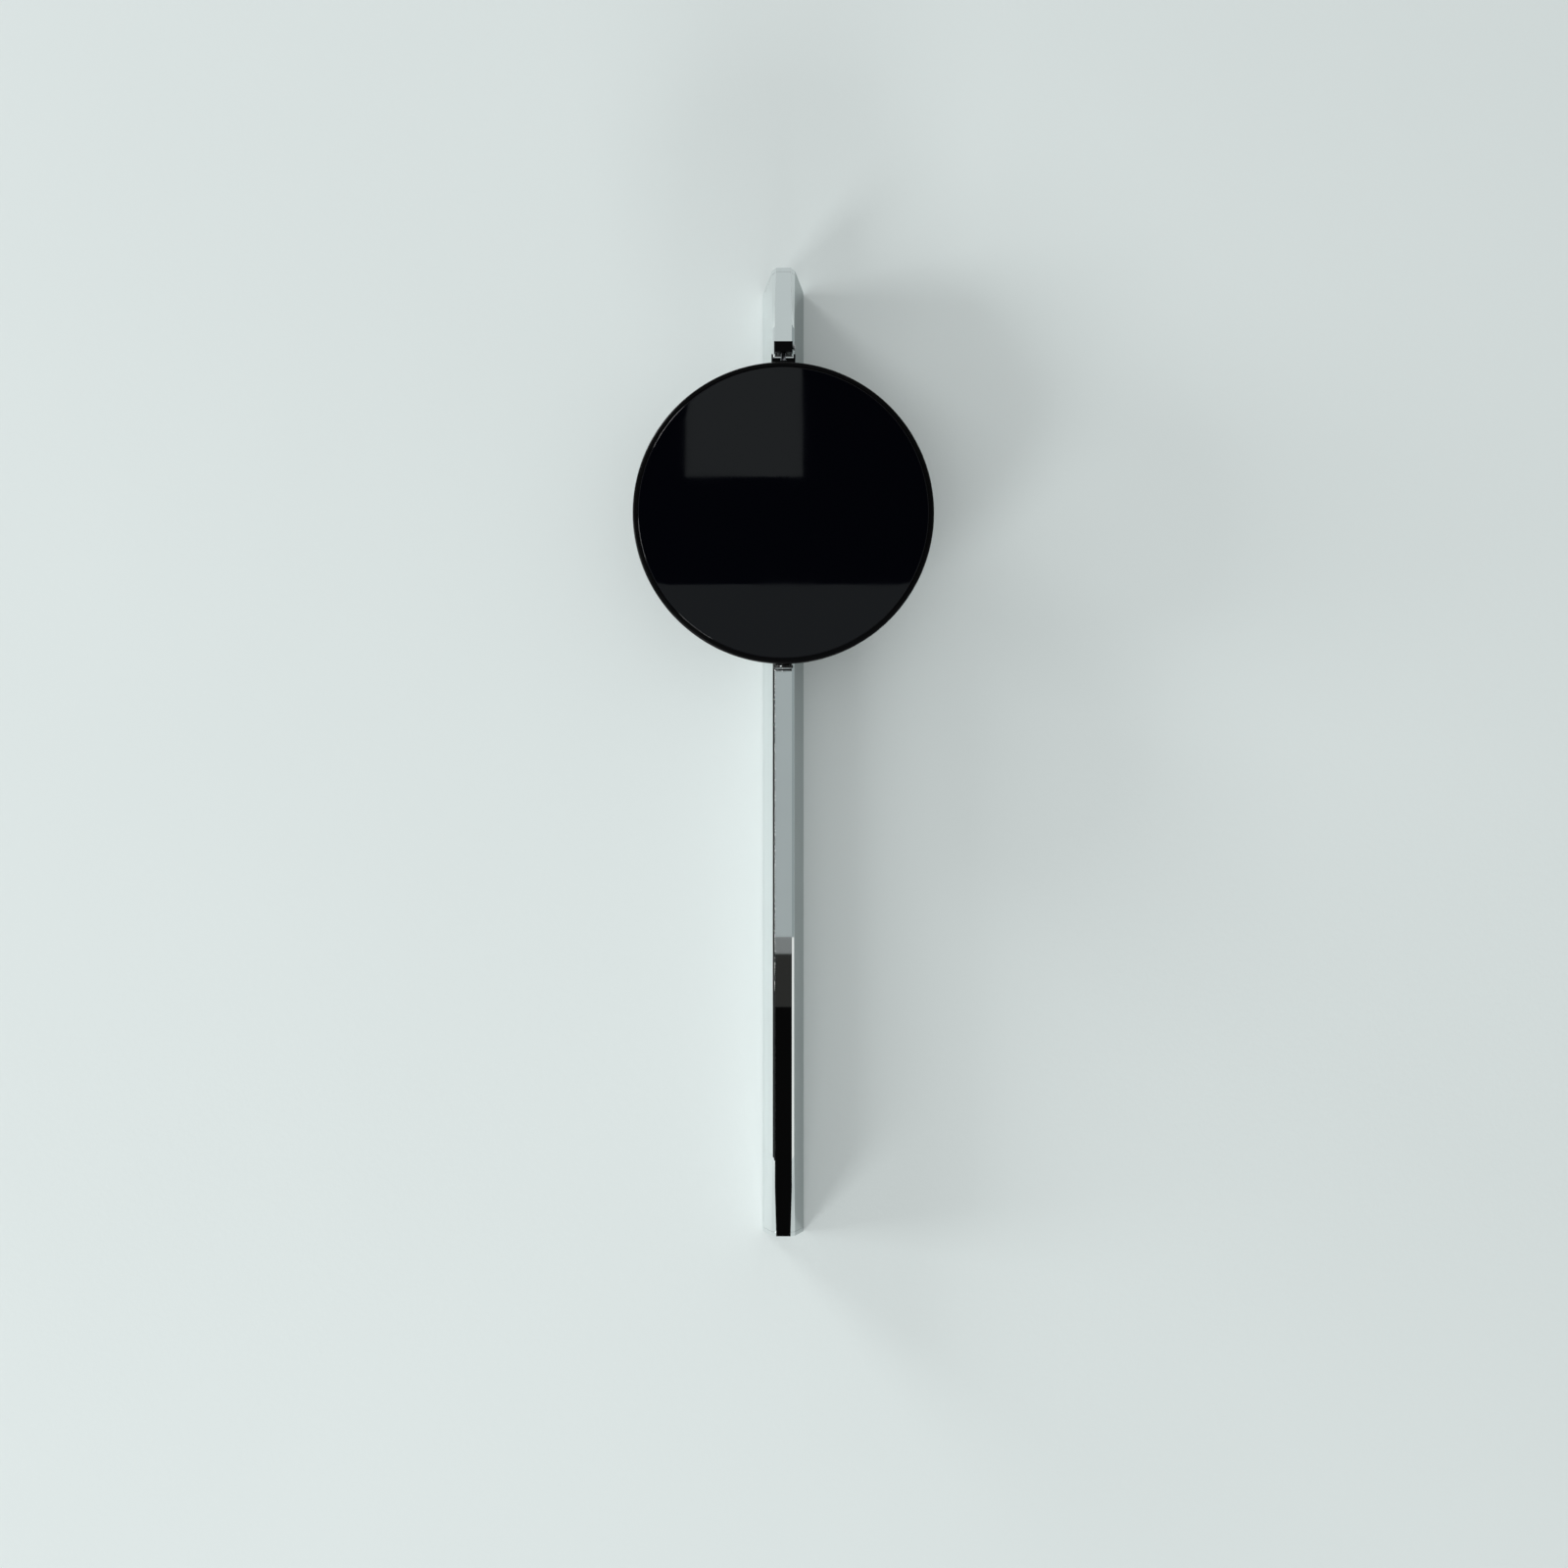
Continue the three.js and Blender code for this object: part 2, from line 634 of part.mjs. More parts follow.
// A block on the inside of the rear case that holds the rod's upper end.
function rodBlock() {
  const back = HEAD.caseBack - HEAD.caseWall - GAP;
  const { y, rodR, rodTop } = RATING;
  return block([-5, 5], [y - 2.4, back], [rodTop - 8, rodTop + 4]).subtract(
    rodZ(rodR + GAP, [rodTop - 9, rodTop + GAP], 0, y),
  );
}

// A knurled round nut under the head: turning it moves it along the rod.
function ratingNut() {
  const { nutR, nutTop, nutBottom, rodR } = RATING;
  const knurls = 20;
  const outline = Array.from({ length: knurls * 2 }, (_, i) => {
    const angle = (i * Math.PI) / knurls;
    const r = i % 2 ? nutR - 0.45 : nutR;
    return [r * Math.cos(angle), r * Math.sin(angle)];
  });
  return bar(outline, [nutBottom, nutTop])
    .subtract(rodZ(rodR + GAP, [nutBottom - 1, nutTop + 1], 0, 0))
    .subtract(inNut(rodY(NUT_SCREW.r + GAP, [-nutR - 1, -rodR])))
    .translate([0, RATING.y, 0]);
}

// Turns a rod on the Y axis to where the nut's side screw lies, at the nut's middle height.
function inNut(rod) {
  return rod.rotate([0, 0, -NUT_SCREW.turn]).translate([0, 0, (RATING.nutTop + RATING.nutBottom) / 2]);
}

// The screw in the nut's side that locks it on the rod.
function nutScrew() {
  const slot = block([-0.15, 0.15], [-NUT_SCREW.to - 1, -NUT_SCREW.to + 0.3], [-2, 2]);
  return inNut(rodY(NUT_SCREW.r, [-NUT_SCREW.to, -NUT_SCREW.from]).subtract(slot))
    .translate([0, RATING.y, 0]);
}

add(head, "rod_block", rodBlock(), blackPlastic);
const rodSpan = [RATING.nutBottom - 0.4, RATING.rodTop];
add(head, "rating_rod", rodZ(RATING.rodR, rodSpan, 0, RATING.y), steel);
add(head, "rating_nut", ratingNut(), blackGloss);
add(head, "nut_screw", nutScrew(), chrome);

// ---------------------------------------------------------------- movement case

function movementBase() {
  const { half, front, wall, split } = MOVEMENT;
  const inner = half - wall;
  return block([-half, half], [front, split - GAP / 2], [-half, half])
    .subtract(block([-inner, inner], [front + wall, 0], [-inner, inner]))
    .add(block([-inner - 0.1, inner + 0.1], [front + 0.5, split - GAP / 2], [-12.3, -11.3]))
    .subtract(rodX(CELL.r + 2 * GAP, [-inner, inner], HEAD_CELL.y, HEAD_CELL.z, 20))
    .add(rodY(4, [-66.9, front + 0.5]))
    .subtract(rodY(3, [-70, front + wall + 1]));
}

function movementCover() {
  const { half, back, wall, split } = MOVEMENT;
  const inner = half - wall;
  const knob = motionCentre();
  return block([-half, half], [split + GAP / 2, back], [-half, half])
    .subtract(block([-inner, inner], [-70, back - wall], [-11.3, inner]))
    .subtract(block([-inner, inner], [-70, back - wall], [-inner, -12.3]))
    .subtract(block([-25.8, 25.8], [-50, 0], [-inner - 0.1, -13]))
    .subtract(rodX(CELL.r + 2 * GAP, [-inner, inner], HEAD_CELL.y, HEAD_CELL.z, 20))
    .subtract(rodY(4.9, [-50, 0], knob.x, knob.z, 20));
}

// A turned nut with two flats' worth of grip, on the bush in front of the dial.
function bushNut() {
  const nut = new THREE.CylinderGeometry(6.4, 6.4, 1.4, 6).translate(0, HEAD.dialFront - GAP - 0.7, 0);
  return solid(nut).subtract(rodY(4 + GAP, [-70, -60]));
}

add(head, "movement_base", movementBase(), blackPlastic);
add(head, "movement_cover", movementCover(), blackPlastic);
const washerSpan = [HEAD.dialFront + HEAD.dialThick + GAP, MOVEMENT.front - GAP];
add(head, "rubber_washer", tubeY(4.3, 14, washerSpan), rubber);
add(head, "bush_nut", bushNut(), brass);

const headCellPlace = [-0.4, HEAD_CELL.y, HEAD_CELL.z];
add(head, "head_battery", cell(), cellLabel, headCellPlace);

// Contacts: a plain tab at the positive end and a bent leaf at the negative end.
function contactPositive() {
  return block([25.6, 26.1], [-59, -50.4], [-24.6, -15]);
}

function contactNegative() {
  const { z } = HEAD_CELL;
  return bar(
    [[-26.5, -58], [-26.1, -58], [-25.1, -55], [-26.1, -51.4], [-26.1, -50.4], [-26.5, -50.4]],
    [z - 3.5, z + 3.5],
  );
}

add(head, "contact_positive", contactPositive(), steel);
add(head, "contact_negative", contactNegative(), steel);

// ---------------------------------------------------------------- wheel train

// Where each arbor stands, as x and z on the face of the movement.
function beside(from, first, second, angle) {
  const distance = first.r + second.r;
  const turn = THREE.MathUtils.degToRad(angle);
  return { x: from.x + distance * Math.cos(turn), z: from.z + distance * Math.sin(turn) };
}

function motionCentre() {
  return beside({ x: 0, z: 0 }, TRAIN.cannon, TRAIN.motionWheel, TRAIN.motionWheel.angle);
}

// A toothed wheel about the Y axis. A tooth points along the angle, or a gap where gap is true.
function gear({ teeth, r }, [y0, y1], angle = 0, gap = false) {
  const module = (2 * r) / teeth;
  const first = THREE.MathUtils.degToRad(angle) + (gap ? Math.PI / teeth : 0);
  const outline = Array.from({ length: teeth * 2 }, (_, i) => {
    const turn = first + (i * Math.PI) / teeth;
    const reach = i % 2 ? r - module : r + 0.5 * module;
    return [reach * Math.cos(turn), reach * Math.sin(turn)];
  });
  return plate(outline, [y0, y1]);
}

function drilled(made, r, span) {
  return made.subtract(rodY(r, span, 0, 0, 16));
}

const centre = { x: 0, z: 0 };
const motion = motionCentre();
const third = beside(centre, TRAIN.centreWheel, TRAIN.thirdPinion, TRAIN.thirdPinion.angle);
const second = beside(third, TRAIN.thirdWheel, TRAIN.secondPinion, TRAIN.secondPinion.angle);
const intermediate = beside(
  second, TRAIN.secondWheel, TRAIN.intermediatePinion, TRAIN.intermediatePinion.angle,
);
const rotor = beside(
  intermediate, TRAIN.intermediateWheel, TRAIN.rotorPinion, TRAIN.rotorPinion.angle,
);

function at({ x, z }) {
  return [x, 0, z];
}

const arborSpan = [-60.4, -49];

// Motion work: the minute arbor drives the motion wheel, which drives the hour wheel.
function minuteArbor() {
  return rodY(1.5, [-70.2, -59])
    .add(rodY(0.5, [-60, -49.4], 0, 0, 10))
    .add(gear(TRAIN.cannon, [-59.7, -58.3], TRAIN.motionWheel.angle));
}

function motionWheel() {
  const back = TRAIN.motionWheel.angle + 180;
  return gear(TRAIN.motionWheel, [-59.4, -58.6], back, true)
    .add(gear(TRAIN.motionPinion, [-61.2, -59], back))
    .add(rodY(0.8, [-61.5, -49.4], 0, 0, 10));
}

function hourWheel() {
  const wheel = gear(TRAIN.hourWheel, [-61.2, -60.2], TRAIN.motionWheel.angle, true);
  return drilled(wheel.add(rodY(2.6, [-68.3, -60.6])), 1.5 + GAP, [-70, -58]);
}

// The knob's hub slips over the motion wheel's arbor, and it stays below the cover's back face.
function settingKnob() {
  const grips = 16;
  const outline = Array.from({ length: grips * 2 }, (_, i) => {
    const angle = (i * Math.PI) / grips;
    const r = i % 2 ? 4.1 : 4.5;
    return [r * Math.cos(angle), r * Math.sin(angle)];
  });
  const cap = plate(outline, [-48.9, -47.1]);
  return cap.subtract(rodY(0.8 + GAP, [-50, -48], 0, 0, 10));
}

// A baton hand with a round boss, pointing up, turned clockwise by an angle.
function hand(length, tail, halfRoot, halfTip, boreR, span, clockwise) {
  const blade = plate([[-halfRoot, -tail], [halfRoot, -tail], [halfTip, length], [-halfTip, length]], span);
  return blade
    .add(rodY(5, span, 0, 0, 20))
    .subtract(rodY(boreR, [-75, -60]))
    .rotate([0, clockwise, 0]);
}

const minuteAngle = HAND_MINUTES * 6;
const hourAngle = HAND_HOURS * 30 + HAND_MINUTES / 2;
add(motionWork, "minute_arbor", minuteArbor(), brass);
add(motionWork, "minute_hand", hand(84, 20, 2.6, 1.6, 1.8, [-69.6, -68.8], minuteAngle), blackSatin);
add(motionWork, "hand_cap", drilled(rodY(3.6, [-71.1, -69.9], 0, 0, 18), 1.8, [-70.5, -69]), blackSatin);
add(motionWork, "hour_wheel", hourWheel(), whitePlastic);
add(motionWork, "hour_hand", hand(56, 16, 3.4, 2.4, 2.9, [-68, -67.2], hourAngle), blackSatin);
add(motionWork, "motion_wheel", motionWheel(), whitePlastic, at(motion));
add(motionWork, "setting_knob", settingKnob(), blackPlastic, at(motion));

// Going train: the rotor drives the centre wheel through three reductions.
function wheelAndPinion(wheel, wheelSpan, pinion, pinionSpan, toWheel, toPinion) {
  return gear(wheel, wheelSpan, toWheel)
    .add(gear(pinion, pinionSpan, toPinion + 180, true))
    .add(rodY(0.4, arborSpan, 0, 0, 10));
}

function centreWheel() {
  const wheel = gear(TRAIN.centreWheel, [-57.4, -56.6], TRAIN.thirdPinion.angle);
  return drilled(wheel.add(rodY(1.6, [-57.8, -55.8])), 0.5 + GAP, [-59, -54]);
}

const thirdWheel = wheelAndPinion(
  TRAIN.thirdWheel, [-55.3, -54.6], TRAIN.thirdPinion, [-57.7, -56.3],
  TRAIN.secondPinion.angle, TRAIN.thirdPinion.angle,
).add(rodY(0.7, [-56.5, -55], 0, 0, 10));
const secondWheel = wheelAndPinion(
  TRAIN.secondWheel, [-53.3, -52.6], TRAIN.secondPinion, [-55.6, -54.3],
  TRAIN.intermediatePinion.angle, TRAIN.secondPinion.angle,
);
const intermediateWheel = wheelAndPinion(
  TRAIN.intermediateWheel, [-51.3, -50.6], TRAIN.intermediatePinion, [-53.6, -52.3],
  TRAIN.rotorPinion.angle, TRAIN.intermediatePinion.angle,
);

function rotorAssembly() {
  return gear(TRAIN.rotorPinion, [-51.6, -50.3], TRAIN.rotorPinion.angle + 180, true)
    .add(rodY(0.4, arborSpan, 0, 0, 10))
    .add(rodY(3, [-57.6, -54.2]));
}

add(goingTrain, "centre_wheel", centreWheel(), whitePlastic);
add(goingTrain, "third_wheel", thirdWheel, whitePlastic, at(third));
add(goingTrain, "second_wheel", secondWheel, whitePlastic, at(second));
add(goingTrain, "intermediate_wheel", intermediateWheel, whitePlastic, at(intermediate));
add(goingTrain, "rotor", rotorAssembly(), magnet, at(rotor));

// ---------------------------------------------------------------- stepping motor and electronics

const COIL = { y: -54.7, z: 22.6, x0: -21.6, x1: -7.7 };

// A flat yoke around the rotor with two arms up to the coil's core.
function motorStator() {
  const thick = [-56.3, -55.5];
  return plate([
    [-25.2, 8], [-4.4, 8], [-4.4, 26], [-7.2, 26], [-7.2, 17.6],
    [-22.2, 17.6], [-22.2, 26], [-25.2, 26],
  ], thick).subtract(rodY(3.5, [-58, -54], rotor.x, rotor.z, 16));
}

function motorBobbin() {
  const flange = 0.7;
  return turnedX([
    [1.7, COIL.x0], [3.8, COIL.x0], [3.8, COIL.x0 + flange], [2.1, COIL.x0 + flange],
    [2.1, COIL.x1 - flange], [3.8, COIL.x1 - flange], [3.8, COIL.x1], [1.7, COIL.x1],
  ], COIL.y, COIL.z, 16);
}

function motorWinding() {
  const x0 = COIL.x0 + 1;
  const x1 = COIL.x1 - 1;
  return turnedX([[2.4, x0], [3.5, x0], [3.5, x1], [2.4, x1]], COIL.y, COIL.z, 16);
}

const coreSpan = [COIL.y - 0.4, COIL.y + 0.4];
add(head, "motor_stator", motorStator(), steel);
add(head, "motor_core", block([-24.8, -4.8], coreSpan, [21.4, 23.8]), steel);
add(head, "motor_bobbin", motorBobbin(), whitePlastic);
add(head, "motor_winding", motorWinding(), copper);
add(head, "circuit_board", block([-26.2, -14.4], [-53.2, -52.4], [-10.6, 6]), board);
add(head, "driver_chip", block([-22.6, -18], [-52.1, -51.1], [-9.4, -4.8]), blackPlastic);
add(head, "crystal_can", rodZ(1, [-2, 4.2], -20.3, -51.1, 16), steel);

export default clock;
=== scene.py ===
import json
import math

import bmesh
import bpy
from mathutils import Matrix, Vector


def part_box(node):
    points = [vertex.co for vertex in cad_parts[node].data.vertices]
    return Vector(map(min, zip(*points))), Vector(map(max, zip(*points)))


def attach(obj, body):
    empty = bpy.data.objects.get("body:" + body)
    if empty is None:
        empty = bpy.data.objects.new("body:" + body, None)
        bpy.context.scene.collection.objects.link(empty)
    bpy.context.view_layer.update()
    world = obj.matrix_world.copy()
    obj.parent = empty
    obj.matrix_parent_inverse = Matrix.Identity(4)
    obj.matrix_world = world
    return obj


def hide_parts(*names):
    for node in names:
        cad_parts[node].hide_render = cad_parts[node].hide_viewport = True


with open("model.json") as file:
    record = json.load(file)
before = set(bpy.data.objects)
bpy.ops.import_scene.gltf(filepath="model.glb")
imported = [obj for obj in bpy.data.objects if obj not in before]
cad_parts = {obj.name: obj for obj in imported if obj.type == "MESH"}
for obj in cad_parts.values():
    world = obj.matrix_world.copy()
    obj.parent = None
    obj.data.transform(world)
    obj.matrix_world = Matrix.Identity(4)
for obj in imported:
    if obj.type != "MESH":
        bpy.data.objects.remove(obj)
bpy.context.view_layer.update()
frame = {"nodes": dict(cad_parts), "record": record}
MM = 0.001

# ---------------------------------------------------------------- places, from the frame

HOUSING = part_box("spine_housing")
SPINE_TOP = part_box("top_cap")[1].z  # front edge of the top end
SPINE_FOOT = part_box("bottom_cap")[0].z  # wall edge of the bottom end
HALF_AT_WALL = HOUSING[1].x
DEPTH = -HOUSING[0].y

HALF_AT_CHAMFER = 9 * MM
HALF_FRONT = 7 * MM
CHAMFER_DEPTH = 42.05 * MM
SLANT = 8 * MM  # how much higher the ends are at the front than at the wall
END_THICK = 3.4 * MM
SEAM = 0.12 * MM  # between the shell and its ends
SHELL_WALL = 2 * MM
TAPER_TOP = 50 * MM
TAPER_FOOT = 66 * MM
FIT = 0.3 * MM  # play between a bore and what goes in it

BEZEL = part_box("bezel")
HEAD_R = BEZEL[1].x
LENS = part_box("front_lens")
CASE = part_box("rear_case")
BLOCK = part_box("suspension_block")
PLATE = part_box("hanger_plate")
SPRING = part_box("suspension_spring")
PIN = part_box("cross_pin")
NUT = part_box("rating_nut")
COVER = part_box("movement_cover")


def middle(node):
    low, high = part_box(node)
    return (low + high) / 2


# ---------------------------------------------------------------- mesh helpers

SHARP_ABOVE = 32  # degrees that an edge turns by when it counts as sharp


def link(name, mesh):
    made = bpy.data.objects.new(name, mesh)
    bpy.context.scene.collection.objects.link(made)
    return made


def from_bmesh(name, bm):
    bmesh.ops.remove_doubles(bm, verts=bm.verts, dist=1e-7)
    bmesh.ops.recalc_face_normals(bm, faces=bm.faces)
    mesh = bpy.data.meshes.new(name)
    bm.to_mesh(mesh)
    bm.free()
    return link(name, mesh)


def polish(piece, width=0.0, segments=2, smooth=SHARP_ABOVE, weight=50):
    """Rounds a piece's sharp edges, or keeps those above the smooth angle, and shades its flats evenly.

    A higher weight keeps large faces quite flat beside their rounded edges.
    """
    mesh = piece.data
    mesh.shade_smooth()
    if width:
        edge = piece.modifiers.new("edges", "BEVEL")
        edge.width, edge.segments = width, segments
        edge.limit_method, edge.angle_limit = "ANGLE", math.radians(SHARP_ABOVE)
    else:
        mesh.set_sharp_from_angle(angle=math.radians(smooth))
    shade = piece.modifiers.new("shading", "WEIGHTED_NORMAL")
    shade.keep_sharp = True
    shade.weight = weight
    return piece


def bake(piece):
    """Turns a piece and its modifiers into one plain mesh."""
    graph = bpy.context.evaluated_depsgraph_get()
    mesh = bpy.data.meshes.new_from_object(piece.evaluated_get(graph))
    piece.modifiers.clear()
    rough, piece.data = piece.data, mesh
    bpy.data.meshes.remove(rough)
    return piece


def combine(operation, piece, *tools):
    for tool in tools:
        step = piece.modifiers.new("boolean", "BOOLEAN")
        step.operation, step.solver, step.object = operation, "EXACT", tool
    bake(piece)
    for tool in tools:
        bpy.data.objects.remove(tool, do_unlink=True)
    return piece


def carve(piece, *tools):
    return combine("DIFFERENCE", piece, *tools)


def fuse(piece, *tools):
    return combine("UNION", piece, *tools)


def add_box(bm, low, high):
    low, high = Vector(low), Vector(high)
    centre, size = (low + high) / 2, high - low
    place = Matrix.Translation(centre) @ Matrix.Diagonal((*size, 1))
    return bmesh.ops.create_cube(bm, size=1, matrix=place)["verts"]


def block(low, high, name="block"):
    """A block between two corners in millimetres."""
    bm = bmesh.new()
    add_box(bm, Vector(low) * MM, Vector(high) * MM)
    return from_bmesh(name, bm)


def slice_off(bm, point, outward):
    """Cuts away what lies beyond a plane and closes the cut."""
    everything = bm.verts[:] + bm.edges[:] + bm.faces[:]
    made = bmesh.ops.bisect_plane(
        bm, geom=everything, plane_co=point, plane_no=outward, clear_outer=True, dist=1e-8)
    cut = [e for e in made["geom_cut"] if isinstance(e, bmesh.types.BMEdge)]
    if cut:
        bmesh.ops.edgeloop_fill(bm, edges=cut)


def round_edges(bm, width, chosen):
    """Rounds the chosen edges that are sharp."""
    limit = math.radians(30)
    edges = [
        e for e in bm.edges
        if len(e.link_faces) == 2 and e.calc_face_angle(0) > limit and chosen(e)
    ]
    bmesh.ops.bevel(
        bm, geom=edges, offset=width, segments=3, profile=0.5, affect="EDGES", clamp_overlap=True)


def fillet(points, radius, steps=5):
    """A closed outline with its corners rounded. A third value in a point is its own radius."""
    out = []
    count = len(points)
    for i, here in enumerate(points):
        corner = Vector(here[:2])
        before, after = Vector(points[i - 1][:2]), Vector(points[(i + 1) % count][:2])
        r = here[2] if len(here) > 2 else radius
        a, b = before - corner, after - corner
        if r <= 0 or a.length < 1e-9 or b.length < 1e-9:
            out.append(corner)
            continue
        half = a.angle(b) / 2
        reach = min(r / math.tan(half), a.length * 0.48, b.length * 0.48)
        r = reach * math.tan(half)
        centre = corner + (a.normalized() + b.normalized()).normalized() * (r / math.sin(half))
        start = corner + a.normalized() * reach - centre
        end = corner + b.normalized() * reach - centre
        turn = start.angle_signed(end)
        for k in range(steps + 1):
            out.append(centre + Matrix.Rotation(-turn * k / steps, 2) @ start)
    return out


TURNS = {  # how (first, second, along) lie for each axis
    "X": Matrix(((0, 0, 1), (1, 0, 0), (0, 1, 0))),
    "Y": Matrix(((1, 0, 0), (0, 0, 1), (0, 1, 0))),
    "Z": Matrix(((1, 0, 0), (0, 1, 0), (0, 0, 1))),
}


def add_prism(bm, outline, low, high, axis):
    """An outline across an axis as a solid between two places along it, in metres."""
    turn = TURNS[axis]
    ends = [
        [bm.verts.new(turn @ Vector((p[0], p[1], along))) for p in outline]
        for along in (low, high)
    ]
    for end in ends:
        bm.faces.new(end)
    for i in range(len(outline)):
        j = (i + 1) % len(outline)
        bm.faces.new((ends[0][i], ends[0][j], ends[1][j], ends[1][i]))


def prism(outline, low, high, axis, radius=0.0, name="prism"):
    """The same in millimetres, with rounded corners."""
    bm = bmesh.new()
    corners = [[v * MM for v in point] for point in outline]
    add_prism(bm, fillet(corners, radius * MM), low * MM, high * MM, axis)
    return from_bmesh(name, bm)


def spin(bm, outline, segments, axis, centre=(0, 0, 0), dent=None):
    """Spins a closed outline of (radius, along) about an axis.

    dent(angle, radius, along) can give a smaller radius, for knurls and threads.
    """
    turn, centre = TURNS[axis], Vector(centre)
    rings = []
    for radius, along in outline:
        if radius < 1e-9:
            vert = bm.verts.new(turn @ Vector((0, 0, along)) + centre)
            rings.append([vert] * segments)
            continue
        ring = []
        for i in range(segments):
            angle = math.tau * i / segments
            r = dent(angle, radius, along) if dent else radius
            local = Vector((r * math.cos(angle), r * math.sin(angle), along))
            ring.append(bm.verts.new(turn @ local + centre))
        rings.append(ring)
    for a, b in zip(rings, rings[1:] + rings[:1]):
        for i in range(segments):
            j = (i + 1) % segments
            corners = list(dict.fromkeys((a[i], a[j], b[j], b[i])))
            if len(corners) > 2:
                bm.faces.new(corners)


def lathe(name, outline, axis="Y", centre=(0, 0, 0), segments=96, dent=None):
    """A turned piece. The outline is in metres."""
    bm = bmesh.new()
    spin(bm, outline, segments, axis, centre, dent)
    return from_bmesh(name, bm)


def turned(name, outline, axis="Y", centre=(0, 0, 0), segments=64, radius=0.0, dent=None):
    """A turned piece from (radius, along) points in millimetres with rounded corners."""
    corners = [[v * MM for v in point] for point in outline]
    smooth = [tuple(p) for p in fillet(corners, radius * MM, 4)]
    return lathe(name, smooth, axis, Vector(centre) * MM, segments, dent)


def drill(radius, low, high, axis, centre=(0, 0, 0), segments=40):
    """A rod to cut a bore with, in millimetres."""
    return turned("drill", [(0, low), (radius, low), (radius, high), (0, high)], axis, centre, segments)


def thread(pitch, depth, shank):
    """Dents a shank of one radius along a helix, in millimetres."""
    def dent(angle, radius, along):
        if abs(radius - shank * MM) > 1e-8:
            return radius
        phase = (along / MM / pitch - angle / math.tau) % 1
        return radius - depth * MM * abs(2 * phase - 1)
    return dent


def shank(radius, low, high, pitch):
    """Outline points along a shank, six to each turn of its thread."""
    steps = round(abs(high - low) / pitch * 6)
    return [(radius, low + (high - low) * i / steps, 0) for i in range(steps + 1)]


def knurl(count, depth, rim):
    """Dents a rim of one radius into grips, in millimetres."""
    def dent(angle, radius, along):
        if radius < rim * MM - 1e-6:
            return radius
        return radius - depth * MM * (0.5 - 0.5 * math.cos(count * angle))
    return dent


# ---------------------------------------------------------------- material helpers

class Finish:
    """A node material with a Principled shader, and short calls for what drives it."""

    def __init__(self, name, color, roughness, metallic=0.0, **sockets):
        self.material = bpy.data.materials.new(name)
        self.material.use_nodes = True
        self.tree = self.material.node_tree
        self.shader = self.tree.nodes["Principled BSDF"]
        self.color = color
        self.roughness = roughness
        self.shader.inputs["Base Color"].default_value = (*color, 1)
        self.shader.inputs["Roughness"].default_value = roughness
        self.shader.inputs["Metallic"].default_value = metallic
        for label, value in sockets.items():
            self.shader.inputs[label.replace("_", " ")].default_value = value
        coords = self.tree.nodes.new("ShaderNodeTexCoord")
        self.place = coords.outputs["Object"]

    def node(self, kind, **settings):
        made = self.tree.nodes.new(kind)
        for key, value in settings.items():
            setattr(made, key, value)
        return made

    def join(self, source, target):
        self.tree.links.new(source, target)

    def stretched(self, scale):
        """Coordinates scaled apart along X, Y and Z, for grain that runs one way."""
        mapping = self.node("ShaderNodeMapping")
        mapping.inputs["Scale"].default_value = scale
        self.join(self.place, mapping.inputs["Vector"])
        return mapping.outputs["Vector"]

    def noise(self, size, detail=4, where=None):
        """Noise whose features are about size metres across."""
        made = self.node("ShaderNodeTexNoise")
        made.inputs["Scale"].default_value = 1 / size
        made.inputs["Detail"].default_value = detail
        self.join(where or self.place, made.inputs["Vector"])
        return made.outputs["Fac"]

    def remap(self, source, low, high, to_low, to_high):
        made = self.node("ShaderNodeMapRange")
        labels = ("From Min", "From Max", "To Min", "To Max")
        for label, value in zip(labels, (low, high, to_low, to_high)):
            made.inputs[label].default_value = value
        self.join(source, made.inputs["Value"])
        return made.outputs["Result"]

    def vary_color(self, source, darker, low=0.35, high=0.65):
        """Runs the colour from its own value down to a darker share of it."""
        mix = self.node("ShaderNodeMix", data_type="RGBA")
        mix.inputs["A"].default_value = (*[c * darker for c in self.color], 1)
        mix.inputs["B"].default_value = (*self.color, 1)
        self.join(self.remap(source, low, high, 0, 1), mix.inputs["Factor"])
        self.join(mix.outputs["Result"], self.shader.inputs["Base Color"])
        return self

    def vary_roughness(self, source, spread):
        """Lets the roughness go up and down by a share of itself."""
        smoother, rougher = self.roughness * (1 - spread), self.roughness * (1 + spread)
        value = self.remap(source, 0.3, 0.7, smoother, rougher)
        self.join(value, self.shader.inputs["Roughness"])
        return self

    def bump(self, source, depth):
        """Bumps that are depth metres high."""
        made = self.node("ShaderNodeBump")
        made.inputs["Distance"].default_value = depth
        made.inputs["Strength"].default_value = 1
        self.join(source, made.inputs["Height"])
        self.join(made.outputs["Normal"], self.shader.inputs["Normal"])
        return self


def chrome_finish():
    made = Finish("polished_chrome", (0.80, 0.83, 0.83), 0.018, 1.0)
    made.vary_roughness(made.noise(0.03, 5), 0.35)
    made.vary_color(made.noise(0.09, 3), 0.96)
    return made.bump(made.noise(0.0006, 3, made.stretched((1, 1, 0.02))), 0.0000003)


def lens_finish():
    made = Finish("smoked_lens", (0.0007, 0.0009, 0.0021), 0.03, 0.0, Specular_IOR_Level=0.28)
    made.vary_roughness(made.noise(0.05, 6), 0.5)
    return made.bump(made.noise(0.06, 2), 0.00002)


def black_gloss_finish():
    made = Finish("black_gloss", (0.0012, 0.0012, 0.0013), 0.06, 0.0, Specular_IOR_Level=0.3)
    made.vary_roughness(made.noise(0.02, 4), 0.35)
    return made.bump(made.noise(0.004, 2), 0.000004)


